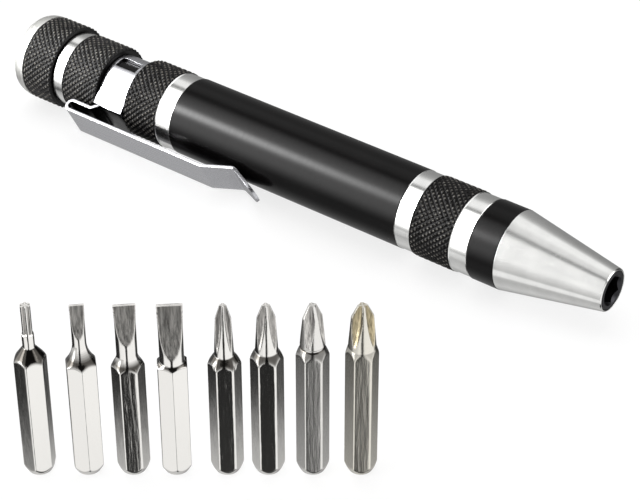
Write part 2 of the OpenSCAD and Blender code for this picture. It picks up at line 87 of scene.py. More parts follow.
# %% Camera
SENSOR = 36.0
LENS = 125.45
CAMERA_AZIMUTH = math.radians(36.54)
CAMERA_ELEVATION = math.radians(36.16)
CAMERA_AIM = Vector((-40.5, -17.5, 0.0)) * MM
CAMERA_DISTANCE = 335.3 * MM

toward_camera = Vector((
    math.sin(CAMERA_AZIMUTH) * math.cos(CAMERA_ELEVATION),
    -math.cos(CAMERA_AZIMUTH) * math.cos(CAMERA_ELEVATION),
    math.sin(CAMERA_ELEVATION),
))
camera_data = bpy.data.cameras.new("camera")
camera_data.lens = LENS
camera_data.sensor_width = SENSOR
camera_data.clip_start = 10 * MM
camera = bpy.data.objects.new("camera", camera_data)
camera.rotation_mode = "QUATERNION"
camera.rotation_quaternion = toward_camera.to_track_quat("Z", "Y")
camera.location = CAMERA_AIM + toward_camera * CAMERA_DISTANCE
bpy.context.scene.collection.objects.link(camera)
bpy.context.scene.camera = camera
bpy.context.scene.view_settings.view_transform = "Standard"
print("camera at", [round(c / MM, 1) for c in camera.location], "mm")

# %% [markdown]
# ## Colours and nodes
# Colours are written as the hex values that a picture editor shows. Shaders calculate in linear
# light, so one function turns each channel. Another small function adds a node, sets it and links
# it, and every world, material and geometry tree below is made with that one function.

# %% Helpers for colours and nodes
def linear(hex_colour):
    """A hex colour as linear red, green, blue and full alpha."""
    channels = [int(hex_colour[i:i + 2], 16) / 255 for i in (1, 3, 5)]
    return [c / 12.92 if c <= 0.04045 else ((c + 0.055) / 1.055) ** 2.4 for c in channels] + [1.0]


def add(tree, kind, inputs=None, **settings):
    """Adds a node. Inputs are values, sockets, or nodes, whose first output is then linked."""
    node = tree.nodes.new(kind)
    for name, value in settings.items():
        setattr(node, name, value)
    for name, value in (inputs or {}).items():
        if isinstance(value, bpy.types.Node):
            value = value.outputs[0]
        if isinstance(value, bpy.types.NodeSocket):
            tree.links.new(value, node.inputs[name])
        else:
            node.inputs[name].default_value = value
    return node


def new_material(name):
    """An empty material, and its tree."""
    material = bpy.data.materials.new(name)
    material.use_nodes = True
    material.node_tree.nodes.clear()
    return material, material.node_tree


print("orange in linear light:", [round(c, 3) for c in linear("#FF8000")])

# %% [markdown]
# Two of the trees need long sums. A sum is easier to read as a list than as a web of nodes, so it
# is written as one: each line has the name of the result, what is done, and what it is done to. A
# line can use the result of any line before it. Most words are the arithmetic node's own names.
# FADE climbs smoothly from 0 to 1 between two values, and MIX goes from one value to another.

# %% Following a list of steps
WORDS = {
    "FADE": ("ShaderNodeMapRange", ("Value", "From Min", "From Max"), {"interpolation_type": "SMOOTHSTEP"}),
    "MIX": ("ShaderNodeMix", ("Factor", "A", "B"), {"data_type": "FLOAT"}),
    "CLAMP": ("ShaderNodeClamp", ("Value",), {}),
}


def follow(tree, results, steps):
    """Adds a node for each step, and links the inputs that name an earlier result."""
    for result, word, *given in steps:
        kind, sockets, settings = WORDS.get(word, ("ShaderNodeMath", (0, 1), {"operation": word}))
        inputs = {socket: results.get(item, item) for socket, item in zip(sockets, given)}
        results[result] = add(tree, kind, inputs, **settings)


print("words besides arithmetic:", list(WORDS))

# %% [markdown]
# ## The studio
# The object stands on a white table in an evenly lit room. Polished metal has no look of its own:
# it shows what stands round it, so its look is made by lighting. The camera sees plain white, and
# what the metal mirrors is a room of panels and dark cards, described by curves of brightness.
# Two curves go round the pen's axis, from overhead (0 degrees) to the camera's side (90) and under
# the pen (180): the room itself, and the bright panel that draws the long highlight on the black.
# Two more go round the horizon, a little below it, from the camera's direction (0), where the
# faces of the upright bits look. Their dark cards stand where a photographer sets them beside
# chromed steel, to draw black edges on it. The higher card's edge stops where the lower starts, so
# a bit's face can be dark at its top and lighter below.

# %% Curves of brightness
ROOM = [
    (-180, 0.62), (-150, 0.36), (-115, 0.26), (-78, 0.3), (-62, 0.36), (-52, 0.5), (-41, 0.95),
    (-22, 0.98), (-8, 0.8), (20, 0.86), (32, 1.0), (84, 1.0), (98, 0.78), (118, 0.54), (150, 0.5),
    (180, 0.62),
]
PANEL = [
    (-180, 0.0), (-6, 0.0), (8, 3.0), (24, 5.5), (36, 6.5), (84, 6.2), (96, 3.9), (108, 1.2),
    (120, 0.0), (180, 0.0),
]
HIGH_CARDS = [
    (-180, 0.3), (-169, 0.3), (-160, 0.02), (-84, 0.02), (-68, 0.9), (-12, 0.97), (-7, 0.02),
    (7, 0.02), (14, 0.97), (104, 0.97), (114, 0.1), (134, 0.02), (152, 0.02), (162, 0.3), (180, 0.3),
]
LOW_CARDS = [
    (-180, 0.5), (-100, 0.5), (-84, 0.24), (-68, 0.9), (-12, 0.9), (-7, 0.03), (7, 0.03),
    (14, 0.9), (104, 0.9), (120, 0.5), (180, 0.5),
]
CURVES = {
    "room": ("round_pen", ROOM), "panel": ("round_pen", PANEL), "back_panel": ("behind_pen", PANEL),
    "high_cards": ("round_bits", HIGH_CARDS), "low_cards": ("round_bits", LOW_CARDS),
}
print("curves and their stops:", {name: len(stops) for name, (_, stops) in CURVES.items()})

# %% [markdown]
# The panels don't fill the whole room. A direction's x says how far it points along the pen, and
# its z how far up, each from -1 to 1. The bright panel and its brighter core stand toward the tail,
# where the pen's straight sides look. They dim further out, where the knurls and the chamfers that
# face the tail look. A dark line crosses the rest of the room at a slant, and draws the dark line
# on the cone. A black flag stands to the right, in front, and a weak copy of the panel behind. The
# cards of the bits fill a belt below the horizon, which is raised on the right.

# %% Where the panels end
PANEL_END, PANEL_FADE = -0.36, 0.05
CORE_LIGHT, CORE_ANGLE, CORE_HALF_WIDTH, CORE_END, CORE_FADE = 46.0, 47.0, 17.0, -0.42, 0.14
FAR_START, FAR_FADE, FAR_DIMMING = -0.63, 0.1, 0.75
LINE_DEPTH, LINE_ANGLE, LINE_SLANT, LINE_HALF_WIDTH, LINE_PLACE = 0.75, -7.0, 60.0, 11.0, -0.43
FLAG_START, FLAG_FADE, FLAG_LEVEL = 0.02, 0.10, 0.06
BACK_SHARE, BACK_START = 0.35, 0.48
BELT_TOP, BELT_RIGHT_TOP, BELT_BOTTOM, BELT_FADE = -0.48, 0.42, -0.80, 0.08
LOW_START, LOW_FADE = -0.638, 0.026
SEEN_WHITE, SOFT_LIGHT = 1.0, 0.75

world = bpy.data.worlds.new("studio")
bpy.context.scene.world = world
world.use_nodes = True
tree = world.node_tree
tree.nodes.clear()
direction = add(tree, "ShaderNodeTexCoord").outputs["Generated"]
parts = add(tree, "ShaderNodeSeparateXYZ", {0: direction}).outputs
light = {"x": parts["X"], "y": parts["Y"], "z": parts["Z"]}
follow(tree, light, [
    ("toward_side", "MULTIPLY", "y", -1.0),
    ("pen_turn", "ARCTAN2", "toward_side", "z"),
    ("round_pen", "DEGREES", "pen_turn"),
    ("behind_pen", "MULTIPLY", "round_pen", -1.0),
    ("bits_turn", "ARCTAN2", "x", "toward_side"),
    ("round_bits", "DEGREES", "bits_turn"),
    ("round_bits", "SUBTRACT", "round_bits", math.degrees(CAMERA_AZIMUTH)),
])
print("angles:", [name for name in light if name.startswith("round")])

# %% [markdown]
# A Color Ramp node holds one curve. It runs from 0 to 1, so the angle becomes a share of a full
# turn, and the levels become shares of the highest one.

# %% Curves as colour ramps
for curve_name, (angle, stops) in CURVES.items():
    follow(tree, light, [
        ("share", "ADD", angle, 180.0 + 360.0),
        ("share", "DIVIDE", "share", 360.0),
        ("share", "FRACT", "share"),
    ])
    ramp = add(tree, "ShaderNodeValToRGB", {"Fac": light["share"]})
    top = max(level for _, level in stops)
    while len(ramp.color_ramp.elements) < len(stops):
        ramp.color_ramp.elements.new(0.5)
    for element, (degrees, level) in zip(ramp.color_ramp.elements, stops):
        element.position = (degrees + 180) / 360
        element.color = (level / top, level / top, level / top, 1.0)
    light[curve_name] = ramp
    follow(tree, light, [(curve_name, "MULTIPLY", curve_name, top)])
print("ramps:", list(CURVES))

# %% [markdown]
# Now the light of the room is added up. Light Path tells mirror reflections from the rest: only
# they see the panels and cards, the camera sees white, and matt surfaces get an even soft light.

# %% World
follow(tree, light, [
    ("slant", "SUBTRACT", "x", LINE_PLACE),
    ("slant", "MULTIPLY", "slant", LINE_SLANT),
    ("off_line", "SUBTRACT", "round_pen", LINE_ANGLE),
    ("off_line", "SUBTRACT", "off_line", "slant"),
    ("off_line", "ABSOLUTE", "off_line"),
    ("line", "FADE", "off_line", LINE_HALF_WIDTH, 0.0),
    ("line", "MULTIPLY", "line", LINE_DEPTH),
    ("beside_line", "SUBTRACT", 1.0, "line"),
    ("light", "MULTIPLY", "room", "beside_line"),
    ("far", "FADE", "x", FAR_START, FAR_START - FAR_FADE),
    ("far", "MULTIPLY", "far", FAR_DIMMING),
    ("near", "SUBTRACT", 1.0, "far"),
    ("on_panel", "FADE", "x", PANEL_END, PANEL_END - PANEL_FADE),
    ("on_panel", "MULTIPLY", "on_panel", "near"),
    ("panel", "MULTIPLY", "on_panel", "panel"),
    ("light", "ADD", "light", "panel"),
    ("off_core", "SUBTRACT", "round_pen", CORE_ANGLE),
    ("off_core", "ABSOLUTE", "off_core"),
    ("core", "FADE", "off_core", CORE_HALF_WIDTH, 0.0),
    ("core", "MULTIPLY", "core", CORE_LIGHT),
    ("on_core", "FADE", "x", CORE_END, CORE_END - CORE_FADE),
    ("core", "MULTIPLY", "core", "on_core"),
    ("core", "MULTIPLY", "core", "near"),
    ("light", "ADD", "light", "core"),
    ("on_right", "FADE", "x", FLAG_START, FLAG_START + FLAG_FADE),
    ("in_front", "FADE", "toward_side", -FLAG_FADE, FLAG_FADE),
    ("flag", "MULTIPLY", "on_right", "in_front"),
    ("light", "MIX", "flag", "light", FLAG_LEVEL),
    ("behind", "SUBTRACT", 1.0, "in_front"),
    ("on_back", "FADE", "x", BACK_START, BACK_START + FLAG_FADE),
    ("behind", "MULTIPLY", "on_back", "behind"),
    ("back_panel", "MULTIPLY", "back_panel", BACK_SHARE),
    ("back_panel", "MULTIPLY", "back_panel", "behind"),
    ("light", "ADD", "light", "back_panel"),
    ("raised", "MULTIPLY", "on_right", BELT_RIGHT_TOP - BELT_TOP),
    ("below_top", "SUBTRACT", "z", "raised"),
    ("below_top", "FADE", "below_top", BELT_TOP, BELT_TOP - BELT_FADE),
    ("above_bottom", "FADE", "z", BELT_BOTTOM, BELT_BOTTOM + BELT_FADE),
    ("in_belt", "MULTIPLY", "below_top", "above_bottom"),
    ("is_low", "FADE", "z", LOW_START, LOW_START - LOW_FADE),
    ("cards", "MIX", "is_low", "high_cards", "low_cards"),
    ("light", "MIX", "in_belt", "light", "cards"),
])
path = add(tree, "ShaderNodeLightPath").outputs
light.update(seen=path["Is Camera Ray"], mirrored=path["Is Glossy Ray"])
follow(tree, light, [
    ("plain", "MULTIPLY", "seen", SEEN_WHITE - SOFT_LIGHT),
    ("plain", "ADD", "plain", SOFT_LIGHT),
    ("strength", "MIX", "mirrored", "plain", "light"),
])
background = add(tree, "ShaderNodeBackground", {"Color": linear("#FFFFFF"), "Strength": light["strength"]})
add(tree, "ShaderNodeOutputWorld", {"Surface": background})
print("world has", len(tree.nodes), "nodes")

# %% [markdown]
# The table is a single matt face. To the camera it is mostly a plain white, and the share that is
# really lit keeps the object's shadow. It is left out of mirror reflections, because the curves
# already say what metal sees below it. Two soft lamps shape the shadow and the matt pieces.

# %% Table and lamps
FLOOR_Z = cad_box[0].z
TABLE_REACH = 3.0
TABLE_GLOW = 0.8

table_mesh = bpy.data.meshes.new("table")
corners = [(-1, -1), (1, -1), (1, 1), (-1, 1)]
table_mesh.from_pydata([(TABLE_REACH * x, TABLE_REACH * y, FLOOR_Z) for x, y in corners], [], [(0, 1, 2, 3)])
table = bpy.data.objects.new("table", table_mesh)
bpy.context.scene.collection.objects.link(table)
table.visible_glossy = False
white_table, tree = new_material("white_table")
path = add(tree, "ShaderNodeLightPath").outputs
glow = add(tree, "ShaderNodeMath", {0: path["Is Camera Ray"], 1: TABLE_GLOW}, operation="MULTIPLY")
matt = add(tree, "ShaderNodeBsdfDiffuse", {"Color": linear("#F8F8F8")})
lit = add(tree, "ShaderNodeEmission", {"Color": linear("#FFFFFF"), "Strength": 1.0})
mixed = add(tree, "ShaderNodeMixShader", {0: glow, 1: matt, 2: lit})
add(tree, "ShaderNodeOutputMaterial", {"Surface": mixed})
table_mesh.materials.append(white_table)

# Each lamp's place and size are in metres, and its power in watts
LAMPS = {
    "overhead": ((-0.15, 0.05, 0.55), 0.6, 1.9),
    "front_left": ((-0.45, -0.55, 0.35), 0.35, 0.8),
}
for lamp_name, (place, size, power) in LAMPS.items():
    lamp_data = bpy.data.lights.new(lamp_name, "AREA")
    lamp_data.shape = "DISK"
    lamp_data.size = size
    lamp_data.energy = power
    lamp = bpy.data.objects.new(lamp_name, lamp_data)
    lamp.location = place
    lamp.rotation_mode = "QUATERNION"
    lamp.rotation_quaternion = (lamp.location - CAMERA_AIM).to_track_quat("Z", "Y")
    lamp.visible_camera = False
    lamp.visible_glossy = False
    bpy.context.scene.collection.objects.link(lamp)
print("table at", round(FLOOR_Z / MM, 2), "mm, lamps:", list(LAMPS))

# %% [markdown]
# ## Finishes of turned metal
# A turning tool leaves a fine groove that runs round the bar like a record's. A noise texture that
# reads only the place along the pen draws it: it drives the bump and the gloss, and a second, wide
# noise makes the tone a little uneven. A wave texture could do it too, but its lines are all
# alike, and a tool's are not. The real grooves are about 0.1 mm apart, too fine for this picture,
# so they are drawn 0.45 mm apart on the black and half that on the bright metal.

# %% Helper: a finish on turned metal
TURNING_PITCH = 0.45
TURNING_DEPTH = 0.02
# Nearly all of a noise texture's values lie in this span, so a range made from it is used in full
NOISE_SPAN = {"From Min": 0.3, "From Max": 0.7}


def turned_finish(name, colour, lines, patches, tones, glosses, finish):
    """A turned surface. Lines are pitch, detail, raggedness and strength, patches size and detail.

    The tones and the glosses are each a lowest and a highest value. Pitch and size are in mm.
    """
    pitch, detail, raggedness, strength = lines
    material, tree = new_material(name)
    place = add(tree, "ShaderNodeTexCoord").outputs["Object"]
    along = add(tree, "ShaderNodeSeparateXYZ", {0: place}).outputs["X"]
    rings = add(tree, "ShaderNodeTexNoise", {
        "W": along, "Scale": 1 / (pitch * MM), "Detail": detail, "Roughness": raggedness,
    }, noise_dimensions="1D")
    cloud = add(tree, "ShaderNodeTexNoise", {
        "Vector": place, "Scale": 1 / (patches[0] * MM), "Detail": patches[1],
    })
    tone = add(tree, "ShaderNodeMapRange", {
        "Value": cloud, "To Min": tones[0], "To Max": tones[1], **NOISE_SPAN,
    })
    base = add(tree, "ShaderNodeVectorMath", {0: linear(colour)[:3], "Scale": tone}, operation="SCALE")
    gloss = add(tree, "ShaderNodeMapRange", {
        "Value": rings, "To Min": glosses[0], "To Max": glosses[1], **NOISE_SPAN,
    })
    bump = add(tree, "ShaderNodeBump", {
        "Height": rings, "Strength": strength, "Distance": TURNING_DEPTH * MM,
    })
    inputs = {"Base Color": base, "Roughness": gloss, "Normal": bump, **finish}
    if "Anisotropic" in finish:
        inputs["Tangent"] = add(tree, "ShaderNodeTangent", direction_type="RADIAL", axis="X")
    shader = add(tree, "ShaderNodeBsdfPrincipled", inputs)
    add(tree, "ShaderNodeOutputMaterial", {"Surface": shader})
    return material


print("turning lines every", TURNING_PITCH, "mm")

# %% [markdown]
# ## Black anodised aluminium
# Anodising grows a hard oxide skin a few hundredths of a millimetre thick, and dye fills its
# pores. The skin is a clear, slightly rough dielectric over black, so it is not a metal to the
# eye: it has a soft sheen, a little grey where light grazes it, and the turning lines show through
# as faint rings. Its specular level is low, to match the deep black of the photograph.

# %% Material: black anodised aluminium
black_anodised = turned_finish(
    "black_anodised_aluminium", "#090808", lines=(TURNING_PITCH, 3.0, 0.7, 0.05), patches=(6.0, 4.0),
    tones=(0.8, 1.2), glosses=(0.2, 0.25), finish={"Metallic": 0.0, "Specular IOR Level": 0.12},
)
print("made", black_anodised.name)

# %% [markdown]
# ## Bright turned aluminium
# The rings and the cone were cut last, through the black, so they are bare metal: near white, with
# fine grooves that run round the axis. Such grooves smear a reflection along the pen and keep it
# sharp round it, which is what makes a turned surface look turned. That is anisotropy, and its
# tangent is turned so that the smear lies along the axis. The cap's rounded end was polished by
# hand against the wheel, which leaves a softer, satin sheen.

# %% Material: turned aluminium
def turned_metal(name, colour, roughness, anisotropy, line_strength):
    """Bare metal turned on a lathe about the pen's axis."""
    return turned_finish(
        name, colour, lines=(TURNING_PITCH / 2, 4.0, 0.75, line_strength), patches=(2.5, 5.0),
        tones=(0.93, 1.03), glosses=(roughness - 0.05, roughness + 0.06),
        finish={"Metallic": 1.0, "Anisotropic": anisotropy, "Anisotropic Rotation": 0.25},
    )


turned_aluminium = turned_metal("turned_aluminium", "#F2F2F0", 0.16, 0.5, 0.2)
satin_aluminium = turned_metal("satin_turned_aluminium", "#F4F4F0", 0.42, 0.2, 0.2)
print("made", turned_aluminium.name, "and", satin_aluminium.name)

# %% [markdown]
# ## Knurled black aluminium
# A knurling wheel presses diamonds into the bar before it is dyed. The points are rubbed first in
# use and polish up to a warm grey, in patches, while the grooves stay black. To the eye they are
# grey specks, partly that wear and partly a painted glint of the crests. How far a point lies from
# the pen's axis tells crest from groove, and the crests are painted lighter by that. The tail end's
# points are painted lighter and its black given more sheen than the band by the nose, as painted
# light for the stronger light on the tail end.

# %% Material: knurled anodised aluminium
# Painted glint and wear on the crests: how far below a crest it starts and where it is full, and the size of
# its patches, in mm
WEAR_AND_GLINT_DEPTH, WEAR_AND_GLINT_EDGE, WEAR_AND_GLINT_PATCH = 0.085, 0.005, 1.1
UNWORN_GLOSS, WORN_GLOSS = 0.4, 0.3


def knurled(name, crest_radius, wear_and_glint_colour, sheen):
    """Black anodising with grey crests, partly wear and partly painted glint, this far out in mm."""
    material, tree = new_material(name)
    place = add(tree, "ShaderNodeTexCoord").outputs["Object"]
    flat_place = add(tree, "ShaderNodeVectorMath", {0: place, 1: (0, 1, 1)}, operation="MULTIPLY")
    radius = add(tree, "ShaderNodeVectorMath", {0: flat_place}, operation="LENGTH").outputs["Value"]
    patchy = add(tree, "ShaderNodeTexNoise", {
        "Vector": place, "Scale": 1 / (WEAR_AND_GLINT_PATCH * MM), "Detail": 3.0,
    })
    # The crests are painted lighter, partly real wear and partly painted glint
    on_crest = add(tree, "ShaderNodeMapRange", {
        "Value": radius, "From Min": (crest_radius - WEAR_AND_GLINT_DEPTH) * MM,
        "From Max": (crest_radius - WEAR_AND_GLINT_EDGE) * MM,
    }, interpolation_type="SMOOTHSTEP")
    spots = add(tree, "ShaderNodeMapRange", {"Value": patchy, "From Min": 0.4, "From Max": 0.6})
    wear_and_glint = add(tree, "ShaderNodeMath", {0: on_crest, 1: spots}, operation="MULTIPLY")
    colour = add(tree, "ShaderNodeMix", {
        "Factor": wear_and_glint, "A": linear("#080707"), "B": linear(wear_and_glint_colour),
    }, data_type="RGBA").outputs["Result"]
    gloss = add(tree, "ShaderNodeMapRange", {"Value": wear_and_glint, "To Min": UNWORN_GLOSS, "To Max": WORN_GLOSS})
    shader = add(tree, "ShaderNodeBsdfPrincipled", {
        "Base Color": colour, "Roughness": gloss, "Specular IOR Level": sheen,
    })
    add(tree, "ShaderNodeOutputMaterial", {"Surface": shader})
    return material


print("worn down to", WEAR_AND_GLINT_DEPTH, "mm below a crest")

# %% [markdown]
# ## Turned pieces
# Everything round on the pen came off a lathe, so it is drawn the same way here: an outline of
# stations along the axis and radii, turned once round. Real edges are never sharp, so each corner
# of the outline is first replaced by a small arc, which catches the light as a fine line.

# %% Softening the corners of an outline
ARC_STEPS = 3
ARC_ROOM = 0.45
SUPPORT = 0.03
STRAIGHT_ON = math.radians(84)


def ease(outline, radius):
    """The outline with each corner rounded by an arc of up to the given radius, in mm.

    A supporting point just past each end of an arc keeps the shading of the long faces flat.
    """
    points = [Vector(p) for p in outline]
    eased = []
    for i, corner in enumerate(points):
        before = points[i - 1] - corner
        after = points[(i + 1) % len(points)] - corner
        room = min(before.length, after.length) * ARC_ROOM
        cosine = max(-1.0, min(1.0, before.normalized().dot(after.normalized())))
        half = math.acos(cosine) / 2
        if corner.y <= 0 or half > STRAIGHT_ON or room <= 0:
            eased.append(corner)
            continue
        reach = min(room, radius / math.tan(half))
        first = corner + before.normalized() * reach
        last = corner + after.normalized() * reach
        if before.length * 0.5 > reach + SUPPORT:
            eased.append(first + before.normalized() * SUPPORT)
        for k in range(ARC_STEPS + 1):
            s = k / ARC_STEPS
            eased.append(first * (1 - s) ** 2 + corner * 2 * s * (1 - s) + last * s ** 2)
        if after.length * 0.5 > reach + SUPPORT:
            eased.append(last + after.normalized() * SUPPORT)
    return eased


square = [(0, 1), (0, 2), (1, 2), (1, 1)]
print("a square outline of", len(square), "points becomes one of", len(ease(square, 0.1)))

# %% [markdown]
# Every remade piece ends the same way: its mesh gets an object, its faces are turned outwards, and
# it is shaded smooth except at its sharp edges. These three helpers do that.

# %% Helpers for meshes
def new_object(name, mesh):
    """An object for the mesh, in the scene and at the origin."""
    made = bpy.data.objects.new(name, mesh)
    bpy.context.scene.collection.objects.link(made)
    return made


def outwards(mesh):
    """Makes every face of a closed mesh point outwards."""
    work = bmesh.new()
    work.from_mesh(mesh)
    bmesh.ops.recalc_face_normals(work, faces=work.faces)
    if work.calc_volume(signed=True) < 0:
        bmesh.ops.reverse_faces(work, faces=work.faces)
    work.to_mesh(mesh)
    work.free()


def shade(mesh, sharp_angle=35):
    """Smooth shading that stays sharp at edges above the given angle in degrees."""
    mesh.shade_smooth()
    mesh.set_sharp_from_angle(angle=math.radians(sharp_angle))


print("helpers:", [helper.__name__ for helper in (new_object, outwards, shade)])

# %% [markdown]
# A turned mesh is a ring of points for each point of the outline, and a belt of faces between two
# rings. A point on the axis is shared by the whole ring. Blender can spin an outline by itself,
# but a few lines of Python give the same mesh each time, closed and without doubled points.

# %% Turning an outline
TURN_STEPS = 192


def turn_piece(name, outline, material, body, easing=0.06):
    """Turns a closed outline of (station, radius) pairs in mm round the pen's axis."""
    verts, faces, rings = [], [], []
    for point in ease(outline, easing):
        start = len(verts)
        if point.y <= 1e-6:
            verts.append((point.x * MM, 0.0, 0.0))
            rings.append([start] * TURN_STEPS)
            continue
        for k in range(TURN_STEPS):
            angle = 2 * math.pi * k / TURN_STEPS
            verts.append((point.x * MM, point.y * MM * math.cos(angle), point.y * MM * math.sin(angle)))
        rings.append([start + k for k in range(TURN_STEPS)])
    for i, ring in enumerate(rings):
        following = rings[(i + 1) % len(rings)]
        for k in range(TURN_STEPS):
            n = (k + 1) % TURN_STEPS
            face = [ring[k], following[k], following[n], ring[n]]
            face = [v for j, v in enumerate(face) if v != face[j - 1]]
            if len(set(face)) > 2:
                faces.append(face)
    mesh = bpy.data.meshes.new(name)
    mesh.from_pydata(verts, [], faces)
    mesh.validate()
    outwards(mesh)
    mesh.materials.append(material)
    shade(mesh)
    made = new_object(name, mesh)
    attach(made, body)
    return made


print("a turned piece has", TURN_STEPS, "faces round it")

# %% [markdown]
# ## Stations along the pen
# The barrel's two ends, the seat of the nose and the cap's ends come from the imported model. The
# bands between them were set by their widths on the lathe, so they are added up the same way here.

# %% Stations
barrel_low, barrel_high = (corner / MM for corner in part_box("barrel"))
cap_low, cap_high = (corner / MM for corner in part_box("swivel_cap"))
nose_low, nose_high = (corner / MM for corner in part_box("nose"))
FRONT_RING, FRONT_KNURL, MIDDLE_RING = 3.0, 7.4, 2.6
SMOOTH, REAR_RING, MIDDLE_KNURL = 44.6, 2.8, 6.9
NECK, REAR_KNURL, TAIL_RING = 6.1, 7.35, 2.05
KNURL_R, BARREL_R, RING_R, NECK_R = barrel_high.z, nose_high.z, 6.4, 4.95
x_seat = barrel_high.x
x_tail = barrel_low.x
x_front_knurl = x_seat - FRONT_RING
x_middle_ring = x_front_knurl - FRONT_KNURL
x_smooth_front = x_middle_ring - MIDDLE_RING
x_smooth_rear = x_smooth_front - SMOOTH
x_middle_knurl = x_smooth_rear - REAR_RING
x_neck_front = x_middle_knurl - MIDDLE_KNURL
x_neck_rear = x_neck_front - NECK
x_tail_ring = x_neck_rear - REAR_KNURL
print("barrel from", round(x_tail, 2), "to", round(x_seat, 2), "mm")
print("its tail by adding up the widths:", round(x_tail_ring - TAIL_RING, 2), "mm")

# %% [markdown]
# ## The barrel
# One solid bar, drilled from the front for spare bits. It is drawn as a core with the smooth black
# skin on it, four bright rings and three knurled sleeves, so that each finish has a piece of its
# own. The core reaches under the sleeves, and the neck for the clip is left bare and black.

# %% Barrel core and smooth skin
CORE_R, SLEEVE_BITE, CORE_SHORT, CHAMFER = 6.2, 0.1, 0.02, 0.12
STORE_R, STORE_WALL, STORE_LEAD = 5.4, 2.9, 0.3
PIN_R, PIN_GRIP, PRESS_GAP, HOLE_SPARE = 1.5, 6.0, 0.01, 0.1
sleeve_bore = CORE_R - SLEEVE_BITE
x_store = x_neck_front + STORE_WALL
x_pin_hole = x_tail + PIN_GRIP + HOLE_SPARE
core_tail, core_seat = x_tail + CORE_SHORT, x_seat - CORE_SHORT

barrel_core = turn_piece("barrel_core", [
    (core_tail, PIN_R + PRESS_GAP), (core_tail, CORE_R), (x_neck_rear, CORE_R), (x_neck_rear, NECK_R),
    (x_neck_front, NECK_R), (x_neck_front, CORE_R), (core_seat, CORE_R),
    (core_seat, STORE_R + STORE_LEAD), (x_seat - STORE_LEAD, STORE_R), (x_store, STORE_R), (x_store, 0),
    (x_pin_hole, 0), (x_pin_hole, PIN_R + PRESS_GAP),
], black_anodised, "handle")
barrel_skin = turn_piece("barrel_skin", [
    (x_smooth_rear + CHAMFER, sleeve_bore), (x_smooth_rear + CHAMFER, BARREL_R),
    (x_smooth_front - CHAMFER, BARREL_R), (x_smooth_front - CHAMFER, sleeve_bore),
], black_anodised, "handle", easing=0.02)
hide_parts("barrel")
print("barrel core and skin:", len(barrel_core.data.polygons), len(barrel_skin.data.polygons), "faces")

# %% [markdown]
# Each ring is the floor of a shallow cut, with a bright chamfer up to the black where a thicker
# band is its neighbour. A ring could be a white stripe in the barrel's colour, but it is the
# chamfer that draws the fine line along its edge, so each ring is turned as a piece. A ring that
# ends at a joint of the pen has its own edge broken instead.

# %% Bright rings
LIP_GAP = 0.01
# Each ring's rear and front station, and the radius of its neighbour on each side
RINGS = {
    "front_ring": (x_front_knurl, x_seat, KNURL_R, RING_R),
    "middle_ring": (x_smooth_front, x_middle_ring, BARREL_R, KNURL_R),
    "rear_ring": (x_middle_knurl, x_smooth_rear, KNURL_R, BARREL_R),
    "tail_ring": (x_tail, x_tail_ring, RING_R, KNURL_R),
}
for ring_name, (rear, front, rear_r, front_r) in RINGS.items():
    rear_edge = [(rear, RING_R - CHAMFER), (rear + CHAMFER, RING_R)]
    if rear_r > RING_R:
        rear_edge = [(rear - CHAMFER, rear_r - LIP_GAP), (rear, RING_R)]
    front_edge = [(front - CHAMFER, RING_R), (front, RING_R - CHAMFER)]
    if front_r > RING_R:
        front_edge = [(front, RING_R), (front + CHAMFER, front_r - LIP_GAP)]
    outline = [(rear, sleeve_bore), *rear_edge, *front_edge, (front, sleeve_bore)]
    turn_piece(ring_name, outline, turned_aluminium, "handle", easing=0.03)
print("rings:", list(RINGS))

# %% [markdown]
# ## Knurling and threads
# A knurl and a thread are the same thing to a lathe: grooves that climb round a bar at a steady
# rate. A thread has one groove, and a knurl has dozens, twice, climbing opposite ways, which leaves
# a diamond between them. A bump texture could draw them, but real diamonds also roughen the pen's
# outline against the white. So one geometry tree makes both. It bends a grid into a tube, and sets
# each point's radius by how far it lies from the nearest groove. The grid's first row and its last
# two lie on the inside, which closes the tube.

# %% Inputs of the grooved tube
GROOVED_INPUTS = {
    "Start": ("NodeSocketFloat", 0.0), "Length": ("NodeSocketFloat", 0.01),
    "Crest radius": ("NodeSocketFloat", 0.005), "Groove depth": ("NodeSocketFloat", 0.0003),
    "Core radius": ("NodeSocketFloat", 0.004), "End radius": ("NodeSocketFloat", 0.004),
    "Grooves round": ("NodeSocketFloat", 40.0), "Groove pitch": ("NodeSocketFloat", 0.001),
    "Crossed": ("NodeSocketFloat", 1.0), "Flat share": ("NodeSocketFloat", 0.2),
    "Points round": ("NodeSocketInt", 336), "Points along": ("NodeSocketInt", 60),
    "Material": ("NodeSocketMaterial", None),
}
grooved_tube = bpy.data.node_groups.new("grooved_tube", "GeometryNodeTree")
for socket_name, (kind, default) in GROOVED_INPUTS.items():
    socket = grooved_tube.interface.new_socket(name=socket_name, in_out="INPUT", socket_type=kind)
    if default is not None:
        socket.default_value = default
grooved_tube.interface.new_socket(name="Geometry", in_out="OUTPUT", socket_type="NodeSocketGeometry")
given = add(grooved_tube, "NodeGroupInput").outputs
tube = {name: given[name] for name in GROOVED_INPUTS}
print("inputs:", list(tube))

# %% [markdown]
# The grid is one unit wide and centred. Its x becomes a share of a turn, and its y the number of
# a row, which gives the distance along the tube. Rows before and after the cut ones are marked as
# inside.

